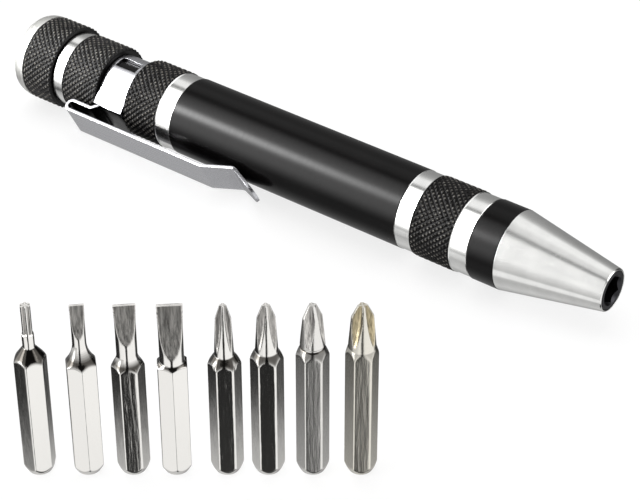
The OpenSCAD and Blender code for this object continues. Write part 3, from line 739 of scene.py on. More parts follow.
# %% Geometry tree: rows and turns
follow(grooved_tube, tube, [
    ("rows", "ADD", "Points along", 3.0),
    ("columns", "ADD", "Points round", 1.0),
])
grid = add(grooved_tube, "GeometryNodeMeshGrid", {
    "Size X": 1.0, "Size Y": 1.0, "Vertices X": tube["columns"], "Vertices Y": tube["rows"],
})
position = add(grooved_tube, "GeometryNodeInputPosition")
spot = add(grooved_tube, "ShaderNodeSeparateXYZ", {0: position}).outputs
tube.update(across=spot["X"], up=spot["Y"])
follow(grooved_tube, tube, [
    ("turn_share", "ADD", "across", 0.5),
    ("row", "ADD", "up", 0.5),
    ("last_row", "SUBTRACT", "rows", 1.0),
    ("row", "MULTIPLY", "row", "last_row"),
    ("row", "ROUND", "row"),
    ("cut_steps", "SUBTRACT", "Points along", 1.0),
    ("share", "SUBTRACT", "row", 1.0),
    ("share", "DIVIDE", "share", "cut_steps"),
    ("share", "CLAMP", "share"),
    ("nearly_last", "SUBTRACT", "last_row", 0.5),
    ("is_last", "GREATER_THAN", "row", "nearly_last"),
    ("not_last", "SUBTRACT", 1.0, "is_last"),
    ("share", "MULTIPLY", "share", "not_last"),
    ("is_first", "LESS_THAN", "row", 0.5),
    ("cut_end", "ADD", "Points along", 0.5),
    ("past_cut", "GREATER_THAN", "row", "cut_end"),
    ("inside", "MAXIMUM", "is_first", "past_cut"),
    ("distance", "MULTIPLY", "share", "Length"),
])
print("grooved_tube so far, with its rows and turns:", len(grooved_tube.nodes), "nodes")

# %% [markdown]
# Counting grooves tells where they are: the count grows with the turn, and falls or grows with the
# distance. What is left of it past a whole number is 0 in the middle of a groove. A flat share
# leaves part of each crest uncut, and an uncrossed tube has no second set of grooves.

# %% Geometry tree: how far the surface rises between grooves
follow(grooved_tube, tube, [
    ("climb", "DIVIDE", "distance", "Groove pitch"),
    ("count", "MULTIPLY", "turn_share", "Grooves round"),
    # Whole grooves are added on the way down, so that the count stays above zero
    ("one_way", "SUBTRACT", "count", "climb"),
    ("one_way", "ADD", "one_way", 1000.0),
    ("other_way", "ADD", "count", "climb"),
])
for way in ("one_way", "other_way"):
    # 0 in the middle of a groove and 1 half way to the next
    follow(grooved_tube, tube, [
        (way, "FRACT", way),
        (way, "MULTIPLY", way, 2.0),
        (way, "SUBTRACT", way, 1.0),
        (way, "ABSOLUTE", way),
        (way, "SUBTRACT", 1.0, way),
    ])
follow(grooved_tube, tube, [
    ("uncrossed", "SUBTRACT", 1.0, "Crossed"),
    ("other_way", "ADD", "other_way", "uncrossed"),
    ("rise", "MINIMUM", "one_way", "other_way"),
    ("sloped", "SUBTRACT", 1.0, "Flat share"),
    ("rise", "DIVIDE", "rise", "sloped"),
    ("rise", "MINIMUM", "rise", 1.0),
])
print("grooved_tube so far, with its grooves:", len(grooved_tube.nodes), "nodes")

# %% [markdown]
# The rise gives each point its radius. The end radius trims the pattern to a chamfer at both ends,
# and the rows marked as inside get the core's radius. The turn then bends the grid round, and the
# first column lands on the last, where their points are merged.

# %% Geometry tree: bending the grid into a tube
follow(grooved_tube, tube, [
    ("sunk", "SUBTRACT", 1.0, "rise"),
    ("sunk", "MULTIPLY", "sunk", "Groove depth"),
    ("radius", "SUBTRACT", "Crest radius", "sunk"),
    ("to_front", "SUBTRACT", "Length", "distance"),
    ("to_end", "MINIMUM", "distance", "to_front"),
    ("trimmed", "ADD", "End radius", "to_end"),
    ("radius", "MINIMUM", "radius", "trimmed"),
    ("to_core", "SUBTRACT", "Core radius", "radius"),
    ("to_core", "MULTIPLY", "inside", "to_core"),
    ("radius", "ADD", "radius", "to_core"),
    ("angle", "MULTIPLY", "turn_share", 2 * math.pi),
    ("x", "ADD", "Start", "distance"),
    ("y", "COSINE", "angle"),
    ("y", "MULTIPLY", "radius", "y"),
    ("z", "SINE", "angle"),
    ("z", "MULTIPLY", "radius", "z"),
])
new_place = add(grooved_tube, "ShaderNodeCombineXYZ", {"X": tube["x"], "Y": tube["y"], "Z": tube["z"]})
bent = add(grooved_tube, "GeometryNodeSetPosition", {"Geometry": grid, "Position": new_place})
closed = add(grooved_tube, "GeometryNodeMergeByDistance", {"Geometry": bent, "Distance": 0.001 * MM})
single = add(grooved_tube, "GeometryNodeRealizeInstances", {0: closed})
dressed = add(grooved_tube, "GeometryNodeSetMaterial", {"Geometry": single, "Material": given["Material"]})
add(grooved_tube, "NodeGroupOutput", {"Geometry": dressed})
print("grooved_tube has", len(grooved_tube.nodes), "nodes")

# %% [markdown]
# A modifier knows its inputs by identifiers and not by the names that the tree shows, so they are
# looked up. The evaluated object gives the finished mesh, and the modifier has then done its work.

# %% Running the tree
GROOVED_SHARP = 80
identifiers = {
    item.name: item.identifier for item in grooved_tube.interface.items_tree if item.in_out == "INPUT"
}


def grooved_piece(name, material, body, sizes):
    """Runs the grooved tube with the given inputs, in metres and counts, and keeps its mesh."""
    piece = new_object(name, bpy.data.meshes.new(name))
    modifier = piece.modifiers.new("grooves", "NODES")
    modifier.node_group = grooved_tube
    modifier[identifiers["Material"]] = material
    for size_name, value in sizes.items():
        modifier[identifiers[size_name]] = value
    evaluated = piece.evaluated_get(bpy.context.evaluated_depsgraph_get())
    mesh = bpy.data.meshes.new_from_object(evaluated)
    piece.modifiers.remove(modifier)
    piece.data = mesh
    mesh.name = name
    outwards(mesh)
    shade(mesh, GROOVED_SHARP)
    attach(piece, body)
    return piece


print("the modifier knows Length as", identifiers["Length"])

# %% [markdown]
# The knurls on the barrel have diamonds about a millimetre each way. The wheel prints a whole
# number of them round the bar, and the bands' lengths don't matter to it: the ring cuts that
# follow trim the pattern and leave a small chamfer at both ends.

# %% Knurled bands
KNURL_PITCH, KNURL_DEPTH, KNURL_FLAT, KNURL_END = 1.04, 0.28, 0.3, 0.2
BARREL_DIAMONDS, POINTS_PER_DIAMOND = 42, 8


def knurl_band(name, body, ends, radii, diamonds, material, trim=0.0):
    """A knurled sleeve. The radii are the crests', the bore's and the trimmed ends', in mm."""
    rear, front = ends
    crest, bore, end = radii
    return grooved_piece(name, material, body, {
        "Start": (rear + trim / 2) * MM, "Length": (front - rear - trim) * MM,
        "Crest radius": crest * MM, "Core radius": bore * MM, "End radius": end * MM,
        "Groove depth": KNURL_DEPTH * MM, "Groove pitch": KNURL_PITCH * MM,
        "Grooves round": float(diamonds), "Crossed": 1.0, "Flat share": KNURL_FLAT,
        "Points round": diamonds * POINTS_PER_DIAMOND,
        "Points along": round((front - rear) / KNURL_PITCH * POINTS_PER_DIAMOND) + 1,
    })


# Each band's two ends, the colour of its worn points and their painted glint, and its sheen. The
# bands differ only as painted light: toward the tail they get lighter points and more sheen
BANDS = {
    "front_knurl": ((x_middle_ring, x_front_knurl), "#726F6A", 0.15),
    "middle_knurl": ((x_neck_front, x_middle_knurl), "#807C76", 0.18),
    "rear_knurl": ((x_tail_ring, x_neck_rear), "#8E8A83", 0.3),
}
for band_name, (ends, wear_and_glint_colour, sheen) in BANDS.items():
    wear_and_glint = knurled("anodised_" + band_name, KNURL_R, wear_and_glint_colour, sheen)
    radii = (KNURL_R, sleeve_bore, KNURL_R - KNURL_END)
    band = knurl_band(band_name, "handle", ends, radii, BARREL_DIAMONDS, wear_and_glint, trim=CHAMFER)
    print(band_name, len(band.data.polygons), "faces")

# %% [markdown]
# ## The swivel cap
# A fingertip rests on the cap while the barrel turns below it. Its skirt is knurled like the
# barrel, and its rounded end is cut bright. It runs on a headed pin, between a plastic washer and
# the pin's head, and a bright button closes it. The end piece is let a little into the core.

# %% Swivel cap
CAP_R, CAP_KNURL, CAP_KNURL_END, CAP_DIAMONDS = cap_high.z, 6.1, 0.25, 46
CAP_SKIRT, CAP_WEB, DOME_IN, DOME_BELOW, DOME_STEPS = 0.4, 4.8, 0.9, 0.05, 10
CORE_BACK, LET_IN, LET_IN_GAP = 0.3, 0.4, 0.2
WASHER_T, WASHER_R, PIN_PLAY, PLAY, BUTTON_R = 0.3, 5.0, 0.05, 0.05, 4.2
cap_core_r = CAP_R - CAP_SKIRT
x_cap_front, x_cap_rear = cap_high.x, cap_low.x
x_dome = x_cap_front - CAP_KNURL
x_web_front = x_tail - WASHER_T - PLAY
x_web_rear = x_web_front - CAP_WEB
dome = [
    (x_dome - (x_dome - x_cap_rear) * math.sin(a), CAP_R - DOME_IN * (1 - math.cos(a)) - DOME_BELOW)
    for a in (math.pi / 2 * k / DOME_STEPS for k in range(DOME_STEPS + 1))
]
cap_core = turn_piece("cap_core", [
    (x_cap_front, WASHER_R + HOLE_SPARE), (x_cap_front, cap_core_r), (x_dome + CORE_BACK, cap_core_r),
    (x_dome + CORE_BACK, PIN_R + PIN_PLAY), (x_web_front, PIN_R + PIN_PLAY),
    (x_web_front, WASHER_R + HOLE_SPARE),
], black_anodised, "cap")
cap_end = turn_piece("cap_end", [
    (x_dome + LET_IN, PIN_R + PIN_PLAY), (x_dome + LET_IN, cap_core_r - LET_IN_GAP),
    (x_dome, cap_core_r), *dome, (x_cap_rear, BUTTON_R + PRESS_GAP),
    (x_web_rear, BUTTON_R + PRESS_GAP), (x_web_rear, PIN_R + PIN_PLAY),
], satin_aluminium, "cap", easing=0.03)
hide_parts("swivel_cap")
# Painted light: the cap's knurl gets the tail band's lighter points and stronger sheen
wear_and_glint = knurled("anodised_cap_knurl", CAP_R, "#8E8A83", 0.3)
radii = (CAP_R, cap_core_r - SLEEVE_BITE, CAP_R - CAP_KNURL_END)
cap_knurl = knurl_band("cap_knurl", "cap", (x_dome, x_cap_front), radii, CAP_DIAMONDS, wear_and_glint)
print("cap:", [len(piece.data.polygons) for piece in (cap_core, cap_end, cap_knurl)], "faces")

# %% [markdown]
# ## The nose
# The nose unscrews to open the store. Its cone is cut bright, the collar behind it keeps its
# black, and the spigot carries a thread and a rubber ring. The thread is the grooved tube again,
# with a single groove that climbs a millimetre a turn.

# %% Nose
COLLAR, COLLAR_EDGE, NOSE_EDGE = 4.8, 0.05, 0.15
MOUTH_R, SLEEVE_R, CONE_ROOT_R, CONE_ROOT_LEN, CONE_SHY = 3.45, 3.15, 5.6, 3.0, 0.02
SPIGOT_R, THREAD_DEPTH, THREAD_PITCH, THREAD_FLAT = 5.35, 0.35, 1.0, 0.2
THREAD_RELIEF, THREAD_BASE, THREAD_POINTS = 0.3, 0.4, (128, 110)
O_RING_T, O_RING_LAND, GROOVE_PLAY = 0.7, 0.5, 0.1
x_spigot, x_mouth = nose_low.x, nose_high.x
x_cone = x_seat + COLLAR
x_groove_front = x_seat - O_RING_LAND
x_groove_rear = x_groove_front - O_RING_T - 2 * GROOVE_PLAY
x_thread_end = x_groove_rear - THREAD_RELIEF
groove_r = SPIGOT_R - O_RING_T - 2 * PRESS_GAP
thread_root_r = SPIGOT_R - THREAD_DEPTH
socket_floor = (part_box("bit_socket")[0] / MM).x
nose_cone = turn_piece("nose_cone", [
    (x_cone, CONE_ROOT_R), (x_cone, BARREL_R - CONE_SHY), (x_mouth - NOSE_EDGE, MOUTH_R),
    (x_mouth, MOUTH_R - NOSE_EDGE), (x_mouth, SLEEVE_R + PRESS_GAP),
    (socket_floor, SLEEVE_R + PRESS_GAP), (socket_floor, 0), (x_cone - CONE_ROOT_LEN, 0),
    (x_cone - CONE_ROOT_LEN, CONE_ROOT_R),
], turned_aluminium, "nose_unit", easing=0.04)
nose_collar = turn_piece("nose_collar", [
    (x_spigot, 0), (x_spigot, thread_root_r), (x_thread_end, thread_root_r), (x_thread_end, SPIGOT_R),
    (x_groove_rear, SPIGOT_R), (x_groove_rear, groove_r), (x_groove_front, groove_r),
    (x_groove_front, SPIGOT_R), (x_seat, SPIGOT_R), (x_seat, BARREL_R - NOSE_EDGE),
    (x_seat + NOSE_EDGE, BARREL_R), (x_cone - COLLAR_EDGE, BARREL_R), (x_cone, BARREL_R - COLLAR_EDGE),
    (x_cone, 0),
], black_anodised, "nose_unit")
nose_thread = grooved_piece("nose_thread", turned_aluminium, "nose_unit", {
    "Start": x_spigot * MM, "Length": (x_thread_end - x_spigot) * MM,
    "Crest radius": SPIGOT_R * MM, "Core radius": (thread_root_r - THREAD_BASE) * MM,
    "End radius": thread_root_r * MM, "Groove depth": THREAD_DEPTH * MM,
    "Groove pitch": THREAD_PITCH * MM, "Grooves round": 1.0, "Crossed": 0.0,
    "Flat share": THREAD_FLAT, "Points round": THREAD_POINTS[0], "Points along": THREAD_POINTS[1],
})
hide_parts("nose")
print("nose:", [len(piece.data.polygons) for piece in (nose_cone, nose_collar, nose_thread)], "faces")

# %% [markdown]
# ## Spring steel
# The clip is cold rolled strip, brushed along its length, so it is a grey metal with long fine
# streaks. Inside its bends, where the clip shuts itself in, shade is painted into its colour:
# ambient occlusion tells how shut in a point is by the clip itself, and darkens it by that, to
# nearly black.
# The streaks are drawn 0.22 mm wide, coarser than real brushing, so that the picture shows them.

# %% Material: spring steel
STREAK_LEN, STREAK_WIDTH, STREAK_DEPTH = 9.0, 0.22, 0.01
# Painted shade inside the clip's bends: how far the occlusion looks in mm, the occlusion where the shade is
# darkest and where it ends, and its darkest tone
SHADE_REACH, SHADE_SHUT, SHADE_OPEN, PAINTED_SHADE_TONE = 5.0, 0.62, 0.92, 0.04

spring_steel, tree = new_material("brushed_spring_steel")
place = add(tree, "ShaderNodeTexCoord").outputs["Object"]
stretch = add(tree, "ShaderNodeMapping", {
    "Vector": place, "Scale": [1 / (size * MM) for size in (STREAK_LEN, STREAK_WIDTH, STREAK_WIDTH)],
})
streaks = add(tree, "ShaderNodeTexNoise", {
    "Vector": stretch, "Scale": 1.0, "Detail": 4.0, "Roughness": 0.65,
})
tone = add(tree, "ShaderNodeMapRange", {"Value": streaks, "To Min": 0.86, "To Max": 1.08, **NOISE_SPAN})
base = add(tree, "ShaderNodeVectorMath", {0: linear("#C9C9CD")[:3], "Scale": tone}, operation="SCALE")
# Painted shade: the colour is darkened where the clip shuts itself in
open_air = add(tree, "ShaderNodeAmbientOcclusion", {
    "Distance": SHADE_REACH * MM,
}, samples=8, only_local=True).outputs["AO"]
painted_shade = add(tree, "ShaderNodeMapRange", {
    "Value": open_air, "From Min": SHADE_SHUT, "From Max": SHADE_OPEN, "To Min": PAINTED_SHADE_TONE, "To Max": 1.0,
})
base = add(tree, "ShaderNodeVectorMath", {0: base, "Scale": painted_shade}, operation="SCALE")
gloss = add(tree, "ShaderNodeMapRange", {"Value": streaks, "To Min": 0.2, "To Max": 0.34, **NOISE_SPAN})
bump = add(tree, "ShaderNodeBump", {"Height": streaks, "Strength": 0.3, "Distance": STREAK_DEPTH * MM})
shader = add(tree, "ShaderNodeBsdfPrincipled", {
    "Base Color": base, "Metallic": 1.0, "Roughness": gloss, "Normal": bump,
})
add(tree, "ShaderNodeOutputMaterial", {"Surface": shader})
print("made", spring_steel.name)

# %% [markdown]
# ## The clip
# The clip is one strip of spring steel. A band wraps the neck, the strip leaves it at a short ramp,
# turns back on itself in a loop, and runs along the pen to a bend that touches the barrel and a
# flared tip. Sheet metal is best drawn as its middle surface, a single layer of faces, which
# Solidify then thickens evenly and Bevel softens at the cut edges. All its heights are measured
# from the pen's axis to that middle surface.

# %% Sizes of the clip
CLIP_TURN = math.radians(117.3)
STRIP_T, STRIP_W, BAND_PLAY, BAND_SIDE_GAP = 0.5, 6.5, 0.05, 0.15
ROOT_LIFT, TAB_PLAY, RAMP_LEN, TAB_LEN, LOOP_GAP = 0.65, 0.09, 1.0, 3.6, 1.26
ARM_LEN, SLOPE_LEN, TOUCH_PLAY, TIP_LEN, TIP_RISE, TIP_W = 28.1, 5.4, 0.1, 5.0, 2.05, 4.4
KNEE_R, RAMP_R = 1.4, 0.55
band_r = NECK_R + BAND_PLAY + STRIP_T / 2
root_height = NECK_R + BAND_PLAY + ROOT_LIFT + STRIP_T / 2
tab_height = KNURL_R + TAB_PLAY + STRIP_T / 2
loop_r = (LOOP_GAP + STRIP_T) / 2
arm_height = tab_height + 2 * loop_r
touch_height = BARREL_R + TOUCH_PLAY + STRIP_T / 2
x_band_front = x_neck_front - BAND_SIDE_GAP
x_band_rear = x_neck_rear + BAND_SIDE_GAP
x_ramp = x_band_rear + RAMP_LEN
x_loop = x_band_rear - TAB_LEN
x_knee = x_loop + ARM_LEN
x_touch = x_knee + SLOPE_LEN
x_tip = x_touch + TIP_LEN
print("clip from", round(x_loop - loop_r, 2), "to", round(x_tip, 2), "mm")

# %% [markdown]
# Seen from the side, the strip is a line with rounded bends: up the ramp, along the tab, round the
# loop, along the arm, down the slope to where it touches, and up to the tip.

# %% The strip's path
LOOP_STEPS, BEND_STEPS, TIP_STEPS = 28, 8, 12
ARM_SHARES = (0.15, 0.3, 0.45, 0.6, 0.75, 0.9)


def bend(before, corner, after, radius):
    """Points of the arc that rounds a corner of a path."""
    before, corner, after = Vector(before), Vector(corner), Vector(after)
    u, v = (before - corner).normalized(), (after - corner).normalized()
    half = math.acos(max(-1.0, min(1.0, u.dot(v)))) / 2
    centre = corner + (u + v).normalized() * radius / math.sin(half)
    first = corner + u * radius / math.tan(half) - centre
    last = corner + v * radius / math.tan(half) - centre
    start = math.atan2(first.y, first.x)
    sweep = math.pi - 2 * half
    if last.x * first.y - last.y * first.x > 0:
        sweep = -sweep
    angles = [start + sweep * k / BEND_STEPS for k in range(BEND_STEPS + 1)]
    return [centre + radius * Vector((math.cos(a), math.sin(a))) for a in angles]


foot, ramp_top, tab_end = (x_ramp, root_height), (x_band_rear, tab_height), (x_loop, tab_height)
arm_start, knee, touch = (x_loop, arm_height), (x_knee, arm_height), (x_touch, touch_height)
tip = (x_tip, touch_height + TIP_RISE)
strip_path = bend((x_band_front, root_height), foot, ramp_top, RAMP_R)
strip_path += bend(foot, ramp_top, tab_end, RAMP_R)
strip_path += [
    Vector((x_loop, tab_height + loop_r)) - loop_r * Vector((math.sin(a), math.cos(a)))
    for a in (math.pi * k / LOOP_STEPS for k in range(LOOP_STEPS + 1))
]
strip_path += [Vector((x_loop + ARM_LEN * share, arm_height)) for share in ARM_SHARES]
strip_path += bend(arm_start, knee, touch, KNEE_R)
strip_path += bend(knee, touch, tip, KNEE_R)
last_bend = strip_path[-1]
tip_run = Vector(tip) - last_bend
strip_path += [last_bend + tip_run * (1 - (1 - k / TIP_STEPS) ** 2) for k in range(1, TIP_STEPS + 1)]
strip_len = sum((b - a).length for a, b in zip(strip_path, strip_path[1:]))
print("strip path:", len(strip_path), "points,", round(strip_len, 1), "mm long")

# %% [markdown]
# Seen from the end, the band is an open loop round the neck. It is round except where the strip
# leaves it, which is a straight line as wide as the strip. The points are joined into a grid
# along the pen, with the window and the place under the ramp left open.

# %% The band
ROOT_HALF, ROOT_COLUMNS = STRIP_W / 2, 8
BAND_OPENING, BAND_STEP = 40.0, 4.0
WINDOW_MIDDLE, WINDOW_ANGLE, WINDOW_REAR, WINDOW_LEN = 111.3, 25.0, 0.6, 4.2
# Two rows between the window's ends keep the faces short
BETWEEN_ROWS = (-91.4, -92.7)


def clip_point(x, across, height):
    """A point in the clip's own frame, turned to where the clip sits on the pen."""
    y = across * math.cos(CLIP_TURN) - height * math.sin(CLIP_TURN)
    z = across * math.sin(CLIP_TURN) + height * math.cos(CLIP_TURN)
    return (x * MM, y * MM, z * MM)


def band_arc(first, last):
    """Points of the band's round part between two angles from the clip's direction."""
    count = max(1, round(abs(last - first) / BAND_STEP))
    angles = [math.radians(first + (last - first) * k / count) for k in range(count + 1)]
    return [(band_r * math.sin(a), band_r * math.cos(a)) for a in angles]


corner_turn = math.degrees(math.atan2(ROOT_HALF, root_height))
flank_turn = corner_turn + math.degrees(math.acos(band_r / math.hypot(ROOT_HALF, root_height)))
window_low, window_high = WINDOW_MIDDLE - WINDOW_ANGLE / 2, WINDOW_MIDDLE + WINDOW_ANGLE / 2
far_turn = 180 - BAND_OPENING / 2
left = band_arc(-far_turn, -flank_turn)
root_line = [(-ROOT_HALF + STRIP_W * k / ROOT_COLUMNS, root_height) for k in range(ROOT_COLUMNS + 1)]
before_window = band_arc(flank_turn, window_low)
at_window = band_arc(window_low, window_high)
past_window = band_arc(window_high, far_turn)
wrap = left + root_line + before_window + at_window[1:] + past_window[1:]
root_first = len(left)
root_last = root_first + ROOT_COLUMNS
window_first = root_last + len(before_window)
window_last = window_first + len(at_window) - 1
x_window_rear = x_band_rear + WINDOW_REAR
x_window_front = x_window_rear + WINDOW_LEN
stations = [x_band_front, x_window_front, *BETWEEN_ROWS, x_ramp, x_window_rear, x_band_rear]
ramp_row = stations.index(x_ramp)
verts = [clip_point(x, across, height) for x in stations for across, height in wrap]
faces = []
for i in range(len(stations) - 1):
    for j in range(len(wrap) - 1):
        in_window = 1 <= i < len(stations) - 2 and window_first <= j < window_last
        under_ramp = i >= ramp_row and root_first <= j < root_last
        if not in_window and not under_ramp:
            a = i * len(wrap) + j
            faces.append((a, a + 1, a + 1 + len(wrap), a + len(wrap)))
print("band:", len(stations), "rows of", len(wrap), "points")

# %% [markdown]
# The strip goes on from the band's row at the ramp's foot, one row of points for each point of its
# path. Past the place where it touches the barrel it is drawn in to a rounded tip.

# %% The strip
TIP_HALF, TIP_END_SHARE = TIP_W / 2, 0.02


def half_width(x, on_arm):
    """Half of the strip's width in mm at a station."""
    if x < x_touch or not on_arm:
        return ROOT_HALF
    share = min(1.0, (x - x_touch) / (x_tip - TIP_HALF - x_touch))
    straight = ROOT_HALF + (TIP_HALF - ROOT_HALF) * share
    past = max(0.0, (x - (x_tip - TIP_HALF)) / TIP_HALF)
    return straight * math.sqrt(max(TIP_END_SHARE, 1 - past ** 2))


previous = [ramp_row * len(wrap) + j for j in range(root_first, root_last + 1)]
on_arm = False
for point in strip_path[1:]:
    on_arm = on_arm or point.y > tab_height + loop_r
    half = half_width(point.x, on_arm)
    current = []
    for k in range(ROOT_COLUMNS + 1):
        current.append(len(verts))
        verts.append(clip_point(point.x, -half + 2 * half * k / ROOT_COLUMNS, point.y))
    for k in range(ROOT_COLUMNS):
        faces.append((previous[k], previous[k + 1], current[k + 1], current[k]))
    previous = current
clip_mesh = bpy.data.meshes.new("clip")
clip_mesh.from_pydata(verts, [], faces)
clip_mesh.validate()
clip = new_object("clip", clip_mesh)
print("middle surface:", len(clip_mesh.polygons), "faces")

# %% [markdown]
# The arm springs about a hinge at the loop, and the band doesn't. Here the clip is one piece:
# Solidify gives it its thickness and Bevel softens its cut edges, and both are applied.

# %% Thickness and soft edges
EDGE_R, EDGE_SEGMENTS, EDGE_ANGLE, CLIP_SHARP = 0.09, 3, 50, 40
thicken = clip.modifiers.new("thicken", "SOLIDIFY")
thicken.thickness = STRIP_T * MM
thicken.offset = 0.0
soften = clip.modifiers.new("soften", "BEVEL")
soften.width = EDGE_R * MM
soften.segments = EDGE_SEGMENTS
soften.limit_method = "ANGLE"
soften.angle_limit = math.radians(EDGE_ANGLE)
soften.use_clamp_overlap = True
clip_mesh = bpy.data.meshes.new_from_object(clip.evaluated_get(bpy.context.evaluated_depsgraph_get()))
clip.modifiers.clear()
clip.data = clip_mesh
outwards(clip_mesh)
clip_mesh.materials.append(spring_steel)
shade(clip_mesh, CLIP_SHARP)
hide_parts("clip_ring", "clip_arm")
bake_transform(clip)
print("clip:", len(clip_mesh.polygons), "faces")

# %% [markdown]
# ## The bits
# A bit starts as hexagon wire. It is turned down at the nose, ground at the tip, tumbled and
# plated, so no edge on it is sharp. Each of those jobs leaves a limit on how far the metal
# reaches from the axis in a given direction at a given height: six flats, a turned outline, and
# the path of a grinding wheel. The bit is what stays inside all of them. First come the limits
# that all bits share.

# %% Flats and turned outline
BIT_AF, BIT_LEN, FOOT_LEN, FOOT_D = 4.0, 28.0, 1.1, 3.4
CORNER_R = BIT_AF / math.sqrt(3)
UNCUT_R = CORNER_R + 0.1
BIT_STEPS = 240
FAR = 1e3
EDGE_ON = 0.05
turns = np.arange(BIT_STEPS) * 2 * np.pi / BIT_STEPS


def flats(hex_turn):
    """How far a hexagon reaches in each direction, one row for each of its flats."""
    middles = np.radians(hex_turn + 30 + 60 * np.arange(6))
    facing = np.cos(turns[None, :] - middles[:, None])
    return np.where(facing > EDGE_ON, BIT_AF / 2 / np.maximum(facing, EDGE_ON), FAR)


def turned_limit(heights, outline):
    """The turned outline's radius at each height, the same in every direction."""
    levels, radii = zip(*outline)
    return np.interp(heights, levels, radii)[:, None] + np.zeros((1, BIT_STEPS))


print("a hexagon corner reaches", round(CORNER_R, 3), "mm")

# %% [markdown]
# A slotted tip is ground hollow by a wheel on each side. A six-lobe tip has six round grooves.
# Cutters could be subtracted with the Boolean modifier, but it leaves knife edges and slivers,
# and a limit gives a clean, rounded mesh. Each function gives the distance to the cutter's path.

# %% Blades and lobes
def wheel_radius(depth, run_out):
    """A grinding wheel that bites the given depth at the tip and runs out at a distance from it."""
    return (depth ** 2 + run_out ** 2) / (2 * depth)


def blade_limit(heights, blade_t, shaft_r, ground_len):
    """Two hollow-ground faces of a slotted blade."""
    wheel = wheel_radius(shaft_r - blade_t / 2, ground_len)
    from_tip = np.minimum(BIT_LEN - heights, wheel)[:, None]
    half = blade_t / 2 + wheel - np.sqrt(wheel ** 2 - from_tip ** 2)
    return half / np.maximum(np.abs(np.sin(turns))[None, :], 1e-4)


def lobe_limit(heights, lobe_r, groove_r, lobe_len):
    """Six round grooves of a six-lobe tip."""
    limit = np.full((len(heights), BIT_STEPS), FAR)
    on_tip = (BIT_LEN - heights)[:, None] < lobe_len
    for k in range(6):
        off = turns - math.radians(60 * k)
        inside = groove_r ** 2 - (lobe_r * np.sin(off)) ** 2
        near = lobe_r * np.cos(off) - np.sqrt(np.maximum(inside, 0))
        hit = (inside > 0) & (np.cos(off) > 0)
        limit = np.where(on_tip & hit[None, :], np.minimum(limit, near[None, :]), limit)
    return limit


print("a 3 mm blade is ground by a wheel of", round(wheel_radius(1.16, 5.8), 1), "mm radius")

# %% [markdown]
# A cross tip is ground four times by a wheel with a sloped rim, which leaves a flute with straight
# sides that runs out in a curve. No simple formula gives the distance to that wheel's path, so it
# is found by halving: a point between a known inside and a known outside is tried, and takes the
# place of one of them, until they meet.

# %% Flutes
FLUTE_OUTSIDE, HALVINGS = 4.0, 30


def flute_limit(heights, web_r, wheel, rim_flat, slope, flute_turn):
    """Four vee flutes cut by a wheel with a sloped rim."""
    limit = np.full((len(heights), BIT_STEPS), FAR)
    from_tip = (BIT_LEN - heights)[:, None]
    for k in range(4):
        off = turns - math.radians(flute_turn + 45 + 90 * k)
        ahead, aside = np.cos(off)[None, :], np.abs(np.sin(off))[None, :]
        low, high = np.zeros_like(limit), np.full_like(limit, FLUTE_OUTSIDE)

        def bite(r):
            rim = wheel - np.maximum(r * aside - rim_flat, 0) / slope
            reach = np.where(rim > 0, rim ** 2 - from_tip ** 2, -1)
            return r * ahead - (web_r + wheel) + np.sqrt(np.maximum(reach, 0))

        cut = (bite(high) > 0) & (ahead > 0)
        for _ in range(HALVINGS):
            middle = (low + high) / 2
            inside = bite(middle) < 0
            low, high = np.where(inside, middle, low), np.where(inside, high, middle)
        limit = np.where(cut, np.minimum(limit, high), limit)
    return limit


print(f"halving {HALVINGS} times leaves {FLUTE_OUTSIDE / 2 ** HALVINGS:.0e} mm of doubt")

# %% [markdown]
# ## Plated steel
# Bright nickel over ground steel is a warm mirror. It is never perfect: the plating is a little
# wavy along the drawn wire, and where the tip was ground the wheel's fine lines show through. A
# number stored on each point says how much of that point the wheel cut. The steep shoulder is
# painted darker, as a painted dark reflection, and a second number says how much of it a point
# gets. Three batches differ: bright, a duller satin, and a warmer one that is yellow where ground.
# The wheel's lines are drawn 0.32 mm apart, coarser than real grit, so that the picture shows them.

# %% Material: nickel plate
# The colour that the steep shoulder is painted toward, as a painted dark reflection
SHOULDER_DARK_REFLECTION = "#514E4A"
GROUND_GLOSS = 0.3
PLATING_DEPTH = 0.05
# Width across and length along the bit, in mm
WAVES, GRIT_LINES = (0.5, 5.0), (0.32, 7.0)


